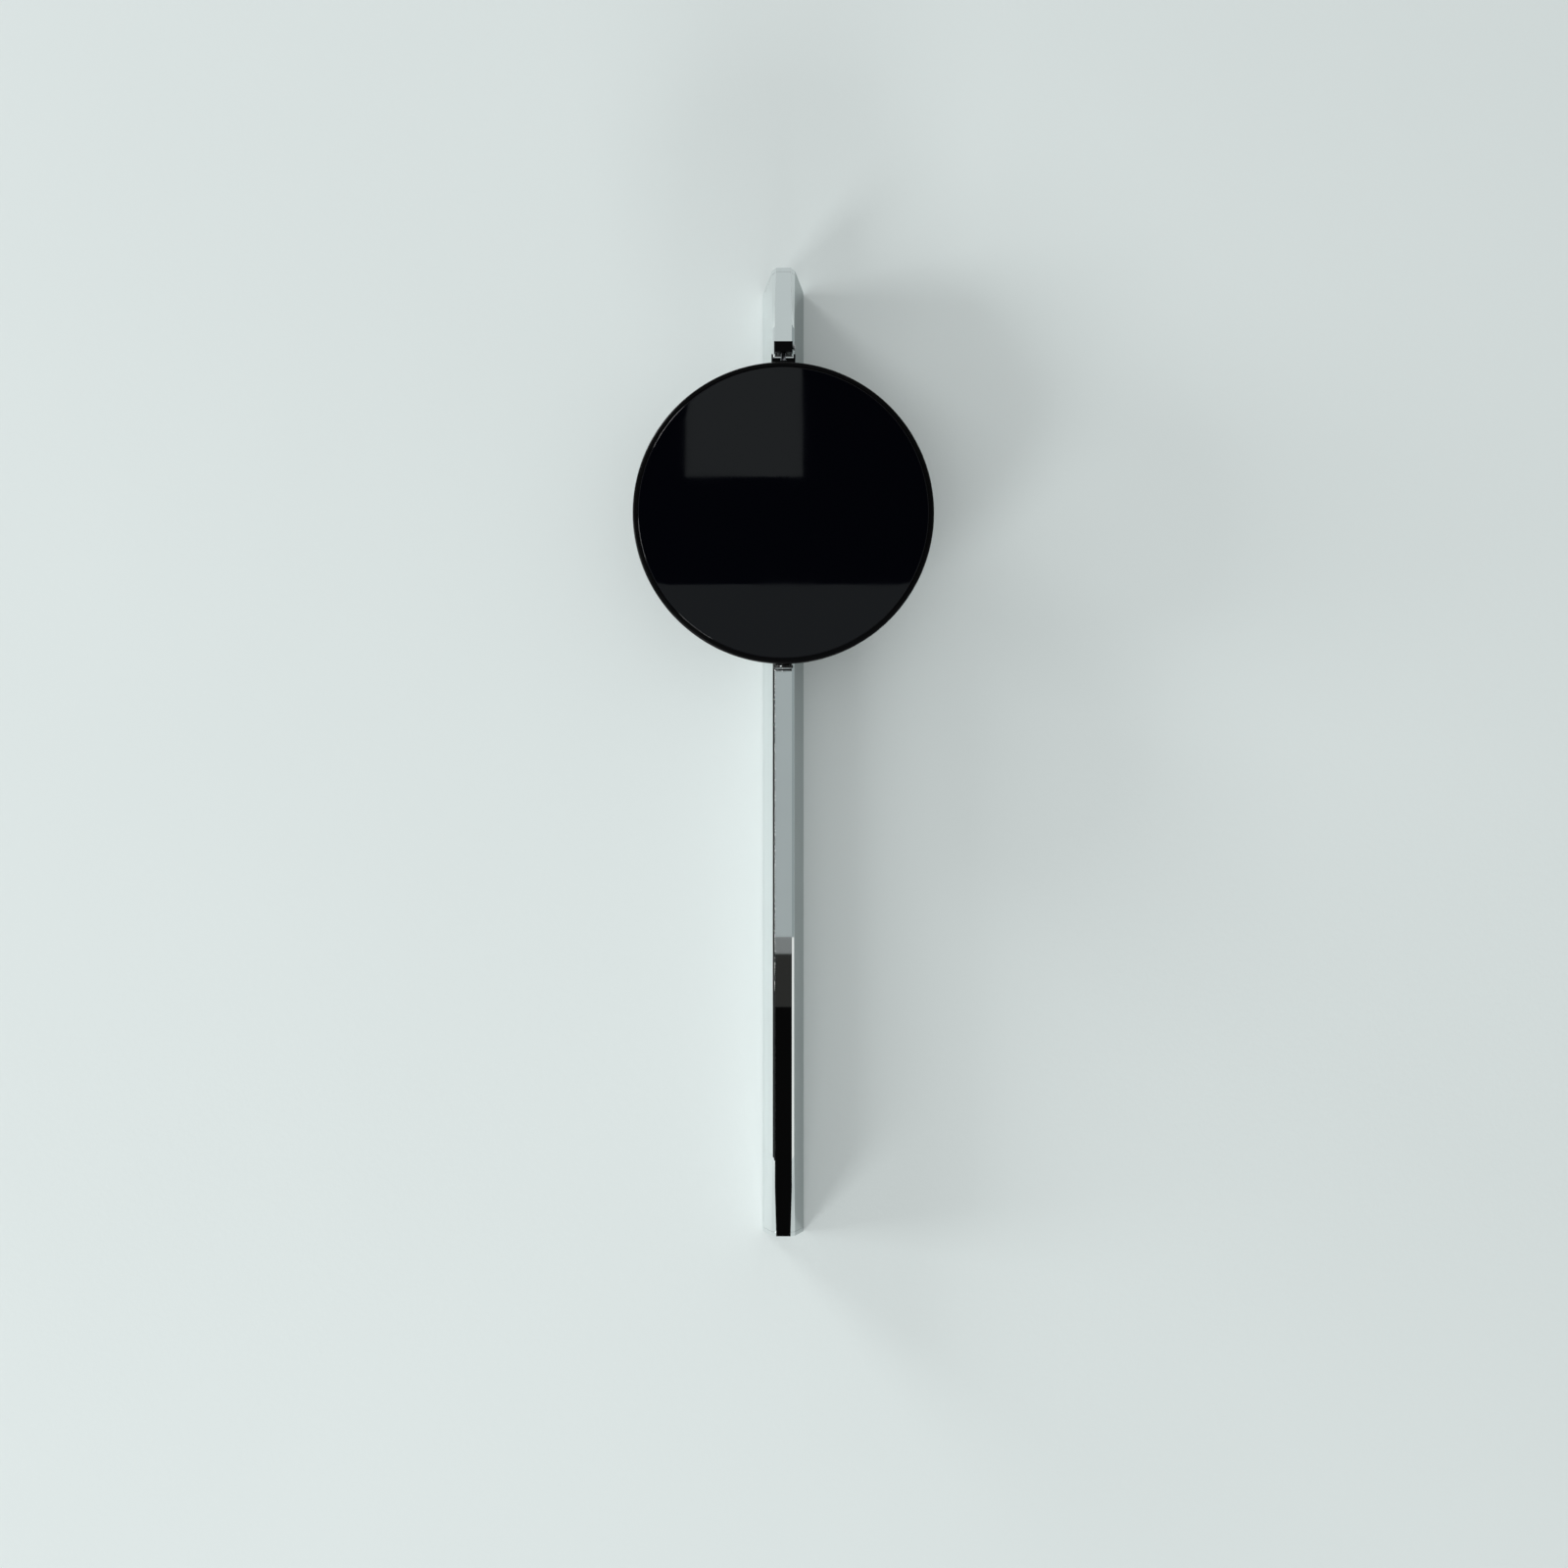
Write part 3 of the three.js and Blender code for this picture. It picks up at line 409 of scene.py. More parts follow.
def black_satin_finish():
    made = Finish("black_satin", (0.0016, 0.0016, 0.0019), 0.34, 0.0, Specular_IOR_Level=0.08)
    made.vary_roughness(made.noise(0.004, 4), 0.25)
    return made.bump(made.noise(0.0006, 3), 0.000012)


def black_plastic_finish():
    made = Finish("black_plastic", (0.03, 0.03, 0.031), 0.46, 0.0)
    made.vary_color(made.noise(0.02, 4), 0.8)
    made.vary_roughness(made.noise(0.0015, 3), 0.2)
    return made.bump(made.noise(0.00045, 2), 0.00002)


def white_plastic_finish():
    made = Finish("acetal", (0.72, 0.70, 0.64), 0.42, 0.0, Subsurface_Weight=0.15)
    made.shader.inputs["Subsurface Scale"].default_value = 0.001
    made.vary_color(made.noise(0.006, 3), 0.93)
    return made.bump(made.noise(0.0005, 2), 0.000006)


def rubber_finish():
    made = Finish("rubber", (0.014, 0.014, 0.014), 0.82, 0.0)
    made.vary_color(made.noise(0.003, 4), 0.75)
    return made.bump(made.noise(0.0004, 3), 0.00002)


def steel_finish():
    made = Finish("steel", (0.55, 0.56, 0.57), 0.3, 1.0)
    grain = made.noise(0.0004, 4, made.stretched((1, 1, 0.03)))
    made.vary_color(made.noise(0.01, 3), 0.86)
    made.vary_roughness(grain, 0.35)
    return made.bump(grain, 0.000006)


def spring_steel_finish():
    made = Finish("spring_steel", (0.3, 0.315, 0.34), 0.28, 1.0)
    made.vary_color(made.noise(0.002, 3), 0.7)
    return made.vary_roughness(made.noise(0.0006, 3), 0.3)


def brass_finish():
    made = Finish("brass", (0.55, 0.38, 0.13), 0.26, 1.0)
    made.vary_color(made.noise(0.002, 4), 0.82)
    return made.bump(made.noise(0.0002, 2, made.stretched((0.1, 0.1, 1))), 0.000008)


def nickel_finish():
    made = Finish("nickel_plate", (0.46, 0.45, 0.43), 0.18, 1.0)
    made.vary_color(made.noise(0.003, 4), 0.88)
    return made.vary_roughness(made.noise(0.001, 3), 0.3)


def winding_finish():
    """Enamelled wire laid side by side."""
    made = Finish("copper_wire", (0.42, 0.13, 0.05), 0.3, 1.0)
    turns = made.node("ShaderNodeTexWave", wave_type="BANDS", bands_direction="DIAGONAL")
    turns.inputs["Scale"].default_value = 900
    turns.inputs["Distortion"].default_value = 0.4
    made.join(made.place, turns.inputs["Vector"])
    made.vary_color(turns.outputs["Fac"], 0.55, 0.1, 0.6)
    return made.bump(turns.outputs["Fac"], 0.00006)


def board_finish():
    """Green solder resist with lighter tracks under it."""
    made = Finish("circuit_board", (0.012, 0.10, 0.035), 0.34, 0.0)
    tracks = made.node("ShaderNodeTexBrick", offset=0.35, squash=0.6, squash_frequency=3)
    tracks.inputs["Scale"].default_value = 160
    tracks.inputs["Mortar Size"].default_value = 0.03
    upright_place = made.stretched((1, 1, 1))
    upright_place.node.inputs["Rotation"].default_value = (math.radians(90), 0, 0)
    made.join(upright_place, tracks.inputs["Vector"])
    made.vary_color(tracks.outputs["Fac"], 2.6, 0.0, 1.0)
    return made.bump(tracks.outputs["Fac"], 0.00003)


def cell_finish():
    """The darker band of a cell's printed sleeve."""
    made = Finish("cell_sleeve", (0.05, 0.07, 0.10), 0.3, 0.35)
    made.vary_color(made.noise(0.012, 4), 0.85)
    return made.vary_roughness(made.noise(0.002, 3), 0.25)


FINISHES = {
    "chrome": chrome_finish,
    "steel": steel_finish,
    "spring_steel": spring_steel_finish,
    "brass": brass_finish,
    "copper": winding_finish,
    "smoked_gloss": lens_finish,
    "black_gloss": black_gloss_finish,
    "black_satin": black_satin_finish,
    "black_plastic": black_plastic_finish,
    "white_plastic": white_plastic_finish,
    "rubber": rubber_finish,
    "board": board_finish,
    "magnet": nickel_finish,
    "cell": cell_finish,
}
MATERIALS = {slot: make().material for slot, make in FINISHES.items()}


def cell_band_finish():
    """The lighter band of a cell's printed sleeve."""
    made = Finish("cell_band", (0.42, 0.30, 0.13), 0.3, 0.6)
    made.vary_color(made.noise(0.01, 4), 0.85)
    return made.vary_roughness(made.noise(0.002, 3), 0.25)


CELL_BAND = cell_band_finish().material


def finish_node(node, slot):
    """Gives a CAD node that stays on show its material."""
    mesh_object = frame["nodes"][node]
    mesh_object.data.materials.clear()
    mesh_object.data.materials.append(MATERIALS[slot])
    for polygon in mesh_object.data.polygons:
        polygon.material_index = 0


def smoothing_group():
    """Geometry nodes that smooth a CAD node's round faces and keep its true edges."""
    tree = bpy.data.node_groups.new("smooth_rounds", "GeometryNodeTree")
    tree.is_modifier = True
    for direction in ("INPUT", "OUTPUT"):
        tree.interface.new_socket("Geometry", in_out=direction, socket_type="NodeSocketGeometry")
    kinds = (
        "NodeGroupInput", "GeometryNodeSetShadeSmooth", "GeometryNodeSetShadeSmooth", "NodeGroupOutput",
        "GeometryNodeInputMeshEdgeAngle", "FunctionNodeCompare",
    )
    start, faces, edges, end, angle, sharp = [tree.nodes.new(kind) for kind in kinds]
    edges.domain = "EDGE"
    edges.inputs["Shade Smooth"].default_value = False
    sharp.inputs["B"].default_value = math.radians(SHARP_ABOVE)
    for source, target in (
        (start.outputs[0], faces.inputs["Geometry"]),
        (faces.outputs["Geometry"], edges.inputs["Geometry"]),
        (edges.outputs["Geometry"], end.inputs[0]),
        (angle.outputs["Unsigned Angle"], sharp.inputs["A"]),
        (sharp.outputs["Result"], edges.inputs["Selection"]),
    ):
        tree.links.new(source, target)
    return tree


SMOOTHING = smoothing_group()


def refine(node, width):
    """Rounds the edges of a CAD node that stays on show, without a change to its own mesh."""
    shown = frame["nodes"][node]
    shown.modifiers.new("join", "WELD").merge_threshold = 1e-6
    flat = shown.modifiers.new("flats", "DECIMATE")
    flat.decimate_type, flat.angle_limit = "DISSOLVE", math.radians(0.5)
    edge = shown.modifiers.new("edges", "BEVEL")
    edge.width, edge.segments = width * MM, 2
    edge.limit_method, edge.angle_limit = "ANGLE", math.radians(35)
    shown.modifiers.new("smooth", "NODES").node_group = SMOOTHING
    shown.modifiers.new("shading", "WEIGHTED_NORMAL").keep_sharp = True


REPLACED = set()  # the CAD nodes that new pieces stand for


def settle(piece, body, slot, *nodes):
    """Finishes a piece: its material, its body and the CAD nodes that it stands for."""
    piece.data.materials.clear()
    piece.data.materials.append(MATERIALS[slot])
    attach(piece, body)
    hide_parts(*nodes)
    REPLACED.update(nodes)


# ---------------------------------------------------------------- spine

def cross(first, second):
    """Where two lines across the bar meet. A line is (point, direction)."""
    (p, d), (q, e) = first, second
    scale = (q - p).cross(e) / d.cross(e)
    return p + d * scale


WALL_EDGE = Vector((HALF_AT_WALL, 0))
FLANK_EDGE = Vector((HALF_AT_CHAMFER, -CHAMFER_DEPTH))
FRONT_EDGE = Vector((HALF_FRONT, -DEPTH))
TAPER_SIDE = Vector((9.8 * MM, -38 * MM))  # the tapered chamfer's end on the flank
TAPER_FRONT = Vector((5.9 * MM, -DEPTH))  # and on the front
KINK_END = 0.389  # share of the taper after which nothing is left of the plain chamfer
KINK_SHARE = 0.55  # where a chamfer without a kink has its spare point


def bar_corners(taper):
    """Corners of the bar's right half: at the wall, on the flank, on the chamfer and at the front.

    taper runs from 0, where the chamfer starts to grow wider, to 1 at the bar's end.
    """
    flank = (WALL_EDGE, FLANK_EDGE - WALL_EDGE)
    front = (FRONT_EDGE, Vector((1, 0)))
    chamfer = (FRONT_EDGE, FLANK_EDGE - FRONT_EDGE)
    wide = (FLANK_EDGE.lerp(TAPER_FRONT, taper), TAPER_SIDE - TAPER_FRONT)
    if taper <= 0:
        return WALL_EDGE, FLANK_EDGE, FLANK_EDGE.lerp(FRONT_EDGE, KINK_SHARE), FRONT_EDGE
    if taper < KINK_END:
        return WALL_EDGE, cross(flank, wide), cross(wide, chamfer), FRONT_EDGE
    side, tip = cross(flank, wide), cross(wide, front)
    return WALL_EDGE, side, side.lerp(tip, KINK_SHARE), tip


def bar_outline(taper):
    wall, side, kink, tip = bar_corners(taper)
    right = [(*wall, 0.3 * MM), (*side, 1.1 * MM), (*kink, 0), (*tip, 0.1 * MM)]
    left = [(-x, y, r) for x, y, r in reversed(right)]
    return fillet(right + left, 0, 4)


def slant_cut(bm, low, high):
    """Cuts a bar between two slanted planes, given by their heights on the wall."""
    rise = SLANT / DEPTH
    slice_off(bm, Vector((0, 0, high)), Vector((0, rise, 1)))
    slice_off(bm, Vector((0, 0, low)), Vector((0, -rise, -1)))


def bar_solid(low, high):
    """The bar between two slanted planes. Its chamfers grow wider towards both ends."""
    stations = []
    for end, length in ((SPINE_FOOT + SLANT, TAPER_FOOT), (SPINE_TOP, -TAPER_TOP)):
        for taper in (1.3, KINK_END, 0.2, 0):  # 1.3 leaves enough to cut off at the slant
            stations.append((end + length * (1 - taper), taper))
    bm = bmesh.new()
    rings = [
        [bm.verts.new((p[0], p[1], z)) for p in bar_outline(taper)]
        for z, taper in sorted(stations)
    ]
    bm.faces.new(rings[0])
    bm.faces.new(rings[-1])
    count = len(rings[0])
    for a, b in zip(rings, rings[1:]):
        for i in range(count):
            j = (i + 1) % count
            bm.faces.new((a[i], a[j], b[j], b[i]))
    bmesh.ops.recalc_face_normals(bm, faces=bm.faces)
    slant_cut(bm, low, high)
    return bm


def half_at(y, inset):
    """Half-width of the bar at a depth, less an inset across its sloping sides."""
    slope = (HALF_AT_WALL - HALF_AT_CHAMFER) / CHAMFER_DEPTH
    return HALF_AT_WALL + slope * y - inset * math.hypot(1, slope)


def channel_solid(inset, back, low, high):
    """What fills the bar's channel, between two slanted planes."""
    front, chamfer = -DEPTH + inset, 1 * MM
    right = [
        (half_at(back, inset), back),
        (half_at(front + chamfer, inset), front + chamfer),
        (half_at(front, inset) - chamfer, front),
    ]
    bm = bmesh.new()
    add_prism(bm, right + [(-x, y) for x, y in reversed(right)], low - 0.02, high + 0.02, "Z")
    slant_cut(bm, low, high)
    return from_bmesh("channel", bm)


def make_shell():
    """The bar between its ends: hollow, open to the wall, with two holes for the block's screws."""
    low = SPINE_FOOT + END_THICK + SEAM
    high = SPINE_TOP - SLANT - END_THICK - SEAM
    shell = from_bmesh("spine_shell", bar_solid(low, high))
    tools = [channel_solid(SHELL_WALL, 1 * MM, low - 0.01, high + 0.01)]
    for side in ("left", "right"):
        place = middle("block_screw_" + side) / MM
        tools.append(drill(1.3, -46, -40, "Y", (place.x, 0, place.z)))
    settle(polish(carve(shell, *tools), smooth=20, weight=100), "spine", "chrome", "spine_housing")


def spine_end(name, low, high, plug_low, plug_high):
    """An end of the bar with a plug that goes into the channel."""
    bm = bar_solid(low, high)
    outer = high if high > 0 else low

    def on_rim(edge):
        lifted = [v.co.z - SLANT * -v.co.y / DEPTH - outer for v in edge.verts]
        return all(abs(z) < 1e-5 for z in lifted)

    round_edges(bm, 0.3 * MM, on_rim)
    plug = channel_solid(SHELL_WALL + FIT, 0, plug_low, plug_high)
    return fuse(from_bmesh(name, bm), plug)


def make_ends():
    top = SPINE_TOP - SLANT
    cap = spine_end("spine_top_end", top - END_THICK, top, top - 12 * MM, top - 1 * MM)
    settle(polish(cap, smooth=20, weight=100), "spine", "chrome", "top_cap")

    foot = SPINE_FOOT
    cap = spine_end("spine_bottom_end", foot, foot + END_THICK, foot + 1 * MM, foot + 12 * MM)
    screw = middle("lock_screw") / MM
    low, head = foot / MM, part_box("lock_screw")[0].z / MM
    carve(
        cap,
        drill(2.3, low - 5, low + 30, "Z", (0, screw.y, 0)),
        drill(3.5, low - 5, head + 2.7, "Z", (0, screw.y, 0)),
    )
    settle(polish(cap, smooth=20, weight=100), "spine", "chrome", "bottom_cap")


def make_lock_screw():
    low, high = [corner.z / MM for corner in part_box("lock_screw")]
    y = middle("lock_screw").y / MM
    outline = [
        (0, low), (2.5, low, 0.4), (3.2, low + 0.6, 0.5), (3.2, low + 2.4, 0.15), (2, low + 2.4),
    ]
    outline += shank(2, low + 2.6, high - 0.7, 0.7) + [(1.4, high, 0.1), (0, high)]
    screw = turned("lock_screw_turned", outline, "Z", (0, y, 0), 32, dent=thread(0.7, 0.4, 2))
    carve(screw, block((-4, y - 0.5, low - 1), (4, y + 0.5, low + 1)))
    settle(polish(screw), "spine", "steel", "lock_screw")


def make_spine():
    make_shell()
    make_ends()
    make_lock_screw()


# ---------------------------------------------------------------- suspension

def make_block():
    """The black block on the bar's front that clamps the spring."""
    low, high = [corner / MM for corner in BLOCK]
    low.z += 1.6  # bares the spring's clamp
    y, screw = middle("cross_pin").y / MM, middle("clamp_screw").z / MM
    made = block(low, high, "block_milled")
    tools = [
        block((-0.7, y - 2.5, low.z - 1), (0.7, y + 2.5, high.z - 2.6)),
        block((-2.7, y - 2.8, low.z - 1), (2.7, y + 2.8, low.z + 0.8)),
        drill(1.8, 0, high.x + 1, "X", (0, y, screw)),
    ]
    for side in ("left", "right"):
        place = middle("block_screw_" + side) / MM
        tools.append(drill(1.3, high.y - 3.4, high.y + 1, "Y", (place.x, 0, place.z)))
    settle(polish(carve(made, *tools), 0.22 * MM, 3), "spine", "black_satin", "suspension_block")


def make_clamp_screw():
    low, high = [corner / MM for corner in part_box("clamp_screw")]
    centre = (0, middle("clamp_screw").y / MM, middle("clamp_screw").z / MM)
    head = high.x - 1.8
    outline = [(0, low.x), (1.2, low.x, 0.1)] + shank(1.5, low.x + 0.4, head - 0.2, 0.5)
    outline += [
        (1.5, head), (2.6, head, 0.1), (2.6, high.x - 0.5, 0.4), (2.1, high.x, 0.4), (0, high.x),
    ]
    screw = turned("clamp_screw_turned", outline, "X", centre, 48, dent=thread(0.5, 0.3, 1.5))
    y = centre[1]
    z = centre[2]
    carve(screw, block((high.x - 0.8, y - 0.4, z - 4), (high.x + 2, y + 0.4, z + 4)))
    settle(polish(screw), "spine", "steel", "clamp_screw")


def make_block_screw(side):
    node = "block_screw_" + side
    low, high = [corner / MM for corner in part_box(node)]
    centre = (middle(node).x / MM, 0, middle(node).z / MM)
    head = high.y - 1.6
    outline = [(0, low.y), (0.8, low.y, 0.1)] + shank(1, low.y + 0.3, head - 0.2, 0.4)
    outline += [(1, head), (1.9, head, 0.1), (1.9, high.y, 0.3), (0, high.y)]
    screw = turned(node + "_turned", outline, "Y", centre, 40, dent=thread(0.4, 0.2, 1))
    socket = drill(0.95, high.y - 0.9, high.y + 1, "Y", centre, 6)
    settle(polish(carve(screw, socket)), "spine", "steel", node)


def make_spring():
    """The leaf that the head hangs from, with its clamp for the cross pin."""
    low, high = [corner / MM for corner in SPRING]
    y, pin = middle("cross_pin").y / MM, middle("cross_pin").z / MM
    clamp = prism(
        [(low.x, low.y), (high.x, low.y), (high.x, high.y), (low.x, high.y)],
        low.z, low.z + 6.2, "Z", 0.4, "spring_and_clamp")
    leaf = block((-0.2, y - 1.7, low.z + 5), (0.2, y + 1.7, high.z))
    outline = [(0, -2.3), (0.8, -2.3, 0.3), (0.8, 2.3, 0.3), (0, 2.3)]
    rivet = turned("rivet", outline, "X", (0, y, pin + 2.7), 20)
    made = carve(fuse(clamp, leaf, rivet), drill(1.9, -3, 3, "X", (0, y, pin)))
    settle(polish(made, 0.06 * MM), "head", "spring_steel", "suspension_spring")


def make_pin():
    low, high = [corner / MM for corner in PIN]
    r = (high.z - low.z) / 2
    y, z = middle("cross_pin").y / MM, middle("cross_pin").z / MM
    outline = [(0, low.x), (r, low.x, 0.5), (r, high.x, 0.5), (0, high.x)]
    pin = turned("cross_pin_turned", outline, "X", (0, y, z), 48)
    settle(polish(pin, smooth=50), "head", "chrome", "cross_pin")


def make_plate():
    """The bracket on the head's back: a plate with two ears bent back around the cross pin."""
    low, high = [corner / MM for corner in PLATE]
    y, pin = middle("cross_pin").y / MM, middle("cross_pin").z / MM
    thick, top = 1.6, pin - 1.9
    made = prism(
        [
            (low.x, low.z, 2.5), (high.x, low.z, 2.5), (high.x, top, 0.3), (2.6, top, 0.3),
            (2.6, top - 1.4, 0.4), (-2.6, top - 1.4, 0.4), (-2.6, top, 0.3), (low.x, top, 0.3),
        ],
        low.y, low.y + thick, "Y", 0, "hanger_bracket")
    side = [
        (low.y, 118, 0.4), (high.y, 118, 3), (high.y, high.z, 2.3), (y - 2.6, high.z, 2.3),
        (y - 2.6, top, 0.4), (low.y, top, 0.3),
    ]
    fuse(made, prism(side, high.x - 1.4, high.x, "X"), prism(side, low.x, low.x + 1.4, "X"))
    tools = [drill(1.9, -12, 12, "X", (0, y, pin))]
    for node in ("hanger_screw_left", "hanger_screw_right"):
        place = middle(node) / MM
        tools.append(drill(1.8, low.y - 1, low.y + 4, "Y", (place.x, 0, place.z)))
    settle(polish(carve(made, *tools), 0.18 * MM, 2), "head", "black_satin", "hanger_plate")


def make_hanger_screw(side):
    node = "hanger_screw_" + side
    low, high = [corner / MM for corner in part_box(node)]
    x, z = middle(node).x / MM, middle(node).z / MM
    seat = high.y - 1.8
    outline = [(0, low.y), (1.2, low.y, 0.1)] + shank(1.5, low.y + 0.4, seat - 0.2, 0.5)
    outline += [
        (1.5, seat), (2.8, seat, 0.1), (2.8, high.y - 0.7, 0.5), (1.9, high.y, 0.8), (0, high.y),
    ]
    screw = turned(node + "_turned", outline, "Y", (x, 0, z), 48, dent=thread(0.5, 0.3, 1.5))
    carve(screw, block((x - 0.4, high.y - 0.9, z - 4), (x + 0.4, high.y + 2, z + 4)))
    settle(polish(screw), "head", "steel", node)


def make_suspension():
    make_block()
    make_clamp_screw()
    make_spring()
    make_pin()
    make_plate()
    for side in ("left", "right"):
        make_block_screw(side)
        make_hanger_screw(side)


# ---------------------------------------------------------------- head

LIP_INNER = 117.9 * MM
BORE_INNER = 119.4 * MM
LENS_R = 117.6 * MM
LENS_CROWN = 2 * MM
LENS_THICK = 2.4 * MM


def crowned(r, lift=0.0):
    """Depth of the lens's front at a radius, or of a surface that far behind it."""
    return LENS[0].y + lift + LENS_CROWN * (r / LENS_R) ** 2


def make_lens():
    flange_back = LENS[1].y
    flange_front = flange_back - 1.8 * MM
    flange_r = LENS[1].x
    rings = 14
    front = [(LENS_R * i / rings, crowned(LENS_R * i / rings)) for i in range(rings)]
    inner = 112.8 * MM
    back = [(inner * i / rings, crowned(inner * i / rings, LENS_THICK)) for i in range(rings + 1)]
    edge = fillet(
        [
            front[-1] + (0,),
            (LENS_R, crowned(LENS_R), 0.7 * MM),
            (LENS_R, flange_front, 0.1 * MM),
            (flange_r, flange_front, 0.2 * MM),
            (flange_r, flange_back, 0.2 * MM),
            (113.6 * MM, flange_back, 0.2 * MM),
            back[-1] + (0,),
        ],
        0,
    )
    outline = front[:-1] + [tuple(p) for p in edge] + back[::-1][1:]
    lens = lathe("lens_disc", outline, segments=192)
    settle(polish(lens), "head", "smoked_gloss", "front_lens")


def make_bezel():
    front, back = BEZEL[0].y, BEZEL[1].y
    step = front + 1.5 * MM
    outline = fillet(
        [
            (BORE_INNER, back, 0.2 * MM),
            (HEAD_R - 0.6 * MM, back, 0.2 * MM),
            (HEAD_R, back - 1.0 * MM, 0.5 * MM),
            (HEAD_R, front, 2.5 * MM),
            (LIP_INNER, front, 0.35 * MM),
            (LIP_INNER, step, 0.1 * MM),
            (BORE_INNER, step, 0.1 * MM),
        ],
        0,
        8,
    )
    ring = lathe("bezel_ring", [tuple(p) for p in outline], segments=192)
    settle(polish(ring, smooth=40), "head", "black_satin", "bezel")


def make_pan():
    """The rear case: a shallow turned pan with a window for the movement."""
    back, rim = CASE[1].y / MM, CASE[0].y / MM
    outline = [
        (0, back),
        (86.4, back, 0.2), (86.9, back - 0.4, 0.2), (88.1, back - 0.4, 0.2), (88.6, back, 0.2),
        (96, back, 14), (108, back - 2.2, 14), (116.5, back - 6, 6), (120, back - 9.4, 3),
        (121, rim, 0.3), (114.4, rim, 0.2),
        (113.4, rim + 2.2, 1), (106.8, back - 4.2, 4), (95.4, back - 1.8, 8), (0, back - 1.8),
    ]
    pan = turned("rear_pan", outline, segments=192)
    half = COVER[1].x / MM + 1
    window = [(-half, -half), (half, -half), (half, half), (-half, half)]
    rod = middle("rating_rod").y / MM
    tools = [
        prism(window, back - 8, back + 5, "Y", 1.2),
        drill(1.8, -124, -108, "Z", (0, rod, 0)),
    ]
    for node in ("hanger_screw_left", "hanger_screw_right"):
        place = middle(node) / MM
        tools.append(drill(1.8, back - 8, back + 5, "Y", (place.x, 0, place.z)))
    settle(polish(carve(pan, *tools), smooth=28), "head", "black_plastic", "rear_case")


def make_ring(node, slot, inner, radius=0.2):
    """A flat ring of the head about the Y axis, as deep and as wide as its CAD node."""
    low, high = [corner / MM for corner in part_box(node)]
    outer = (high.x - low.x) / 2
    place = middle(node) / MM
    outline = [(inner, low.y), (outer, low.y), (outer, high.y), (inner, high.y)]
    ring = turned(node + "_turned", outline, "Y", (place.x, 0, place.z), 128, radius)
    settle(polish(ring, smooth=50), "head", slot, node)


def make_magnet():
    low, high = [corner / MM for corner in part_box("drive_magnet")]
    r = (high.x - low.x) / 2
    outline = [(0, low.y), (r, low.y, 0.5), (r, high.y, 0.5), (0, high.y)]
    centre = (0, 0, middle("drive_magnet").z / MM)
    magnet = turned("drive_magnet_turned", outline, "Y", centre, 64)
    settle(polish(magnet, smooth=50), "head", "magnet", "drive_magnet")


def make_rating():
    """The threaded rod under the head, its knurled nut and the nut's locking screw."""
    low, high = [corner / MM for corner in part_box("rating_rod")]
    y = middle("rating_rod").y / MM
    outline = [(0, low.z), (1.1, low.z, 0.1)] + shank(1.5, low.z + 0.5, low.z + 16, 0.5)
    outline += [(1.5, low.z + 16.3), (1.5, high.z, 0.2), (0, high.z)]
    rod = turned("rating_rod_turned", outline, "Z", (0, y, 0), 32, dent=thread(0.5, 0.3, 1.5))
    settle(polish(rod, smooth=60), "head", "steel", "rating_rod")

    low, high = [corner.z / MM for corner in NUT]
    rim = (NUT[1].x - NUT[0].x) / MM / 2
    outline = [
        (1.8, low, 0.2), (rim - 0.6, low), (rim, low + 0.6),
        (rim, high - 0.6), (rim - 0.6, high), (1.8, high, 0.2),
    ]
    nut = turned("rating_nut_knurled", outline, "Z", (0, y, 0), 200, dent=knurl(20, 0.45, rim))
    place = Matrix.Translation((0, y * MM, middle("nut_screw").z))
    turn = place @ Matrix.Rotation(math.radians(-11.5), 4, "Z")
    bore = drill(1.05, -rim - 1, -1.5, "Y")
    bore.data.transform(turn)
    settle(polish(carve(nut, bore), smooth=35), "rating_nut", "black_gloss", "rating_nut")

    outline = [
        (0, -8.5), (0.4, -8.44), (0.65, -8.2), (0.75, -7.9), (0.75, -2.4), (0.6, -2.2), (0, -2.2),
    ]
    screw = turned("nut_screw_turned", outline, "Y", (0, 0, 0), 32)
    carve(screw, block((-0.1, -9, -2), (0.1, -8.2, 2)))
    screw.data.transform(turn)
    settle(polish(screw, smooth=40), "rating_nut", "chrome", "nut_screw")


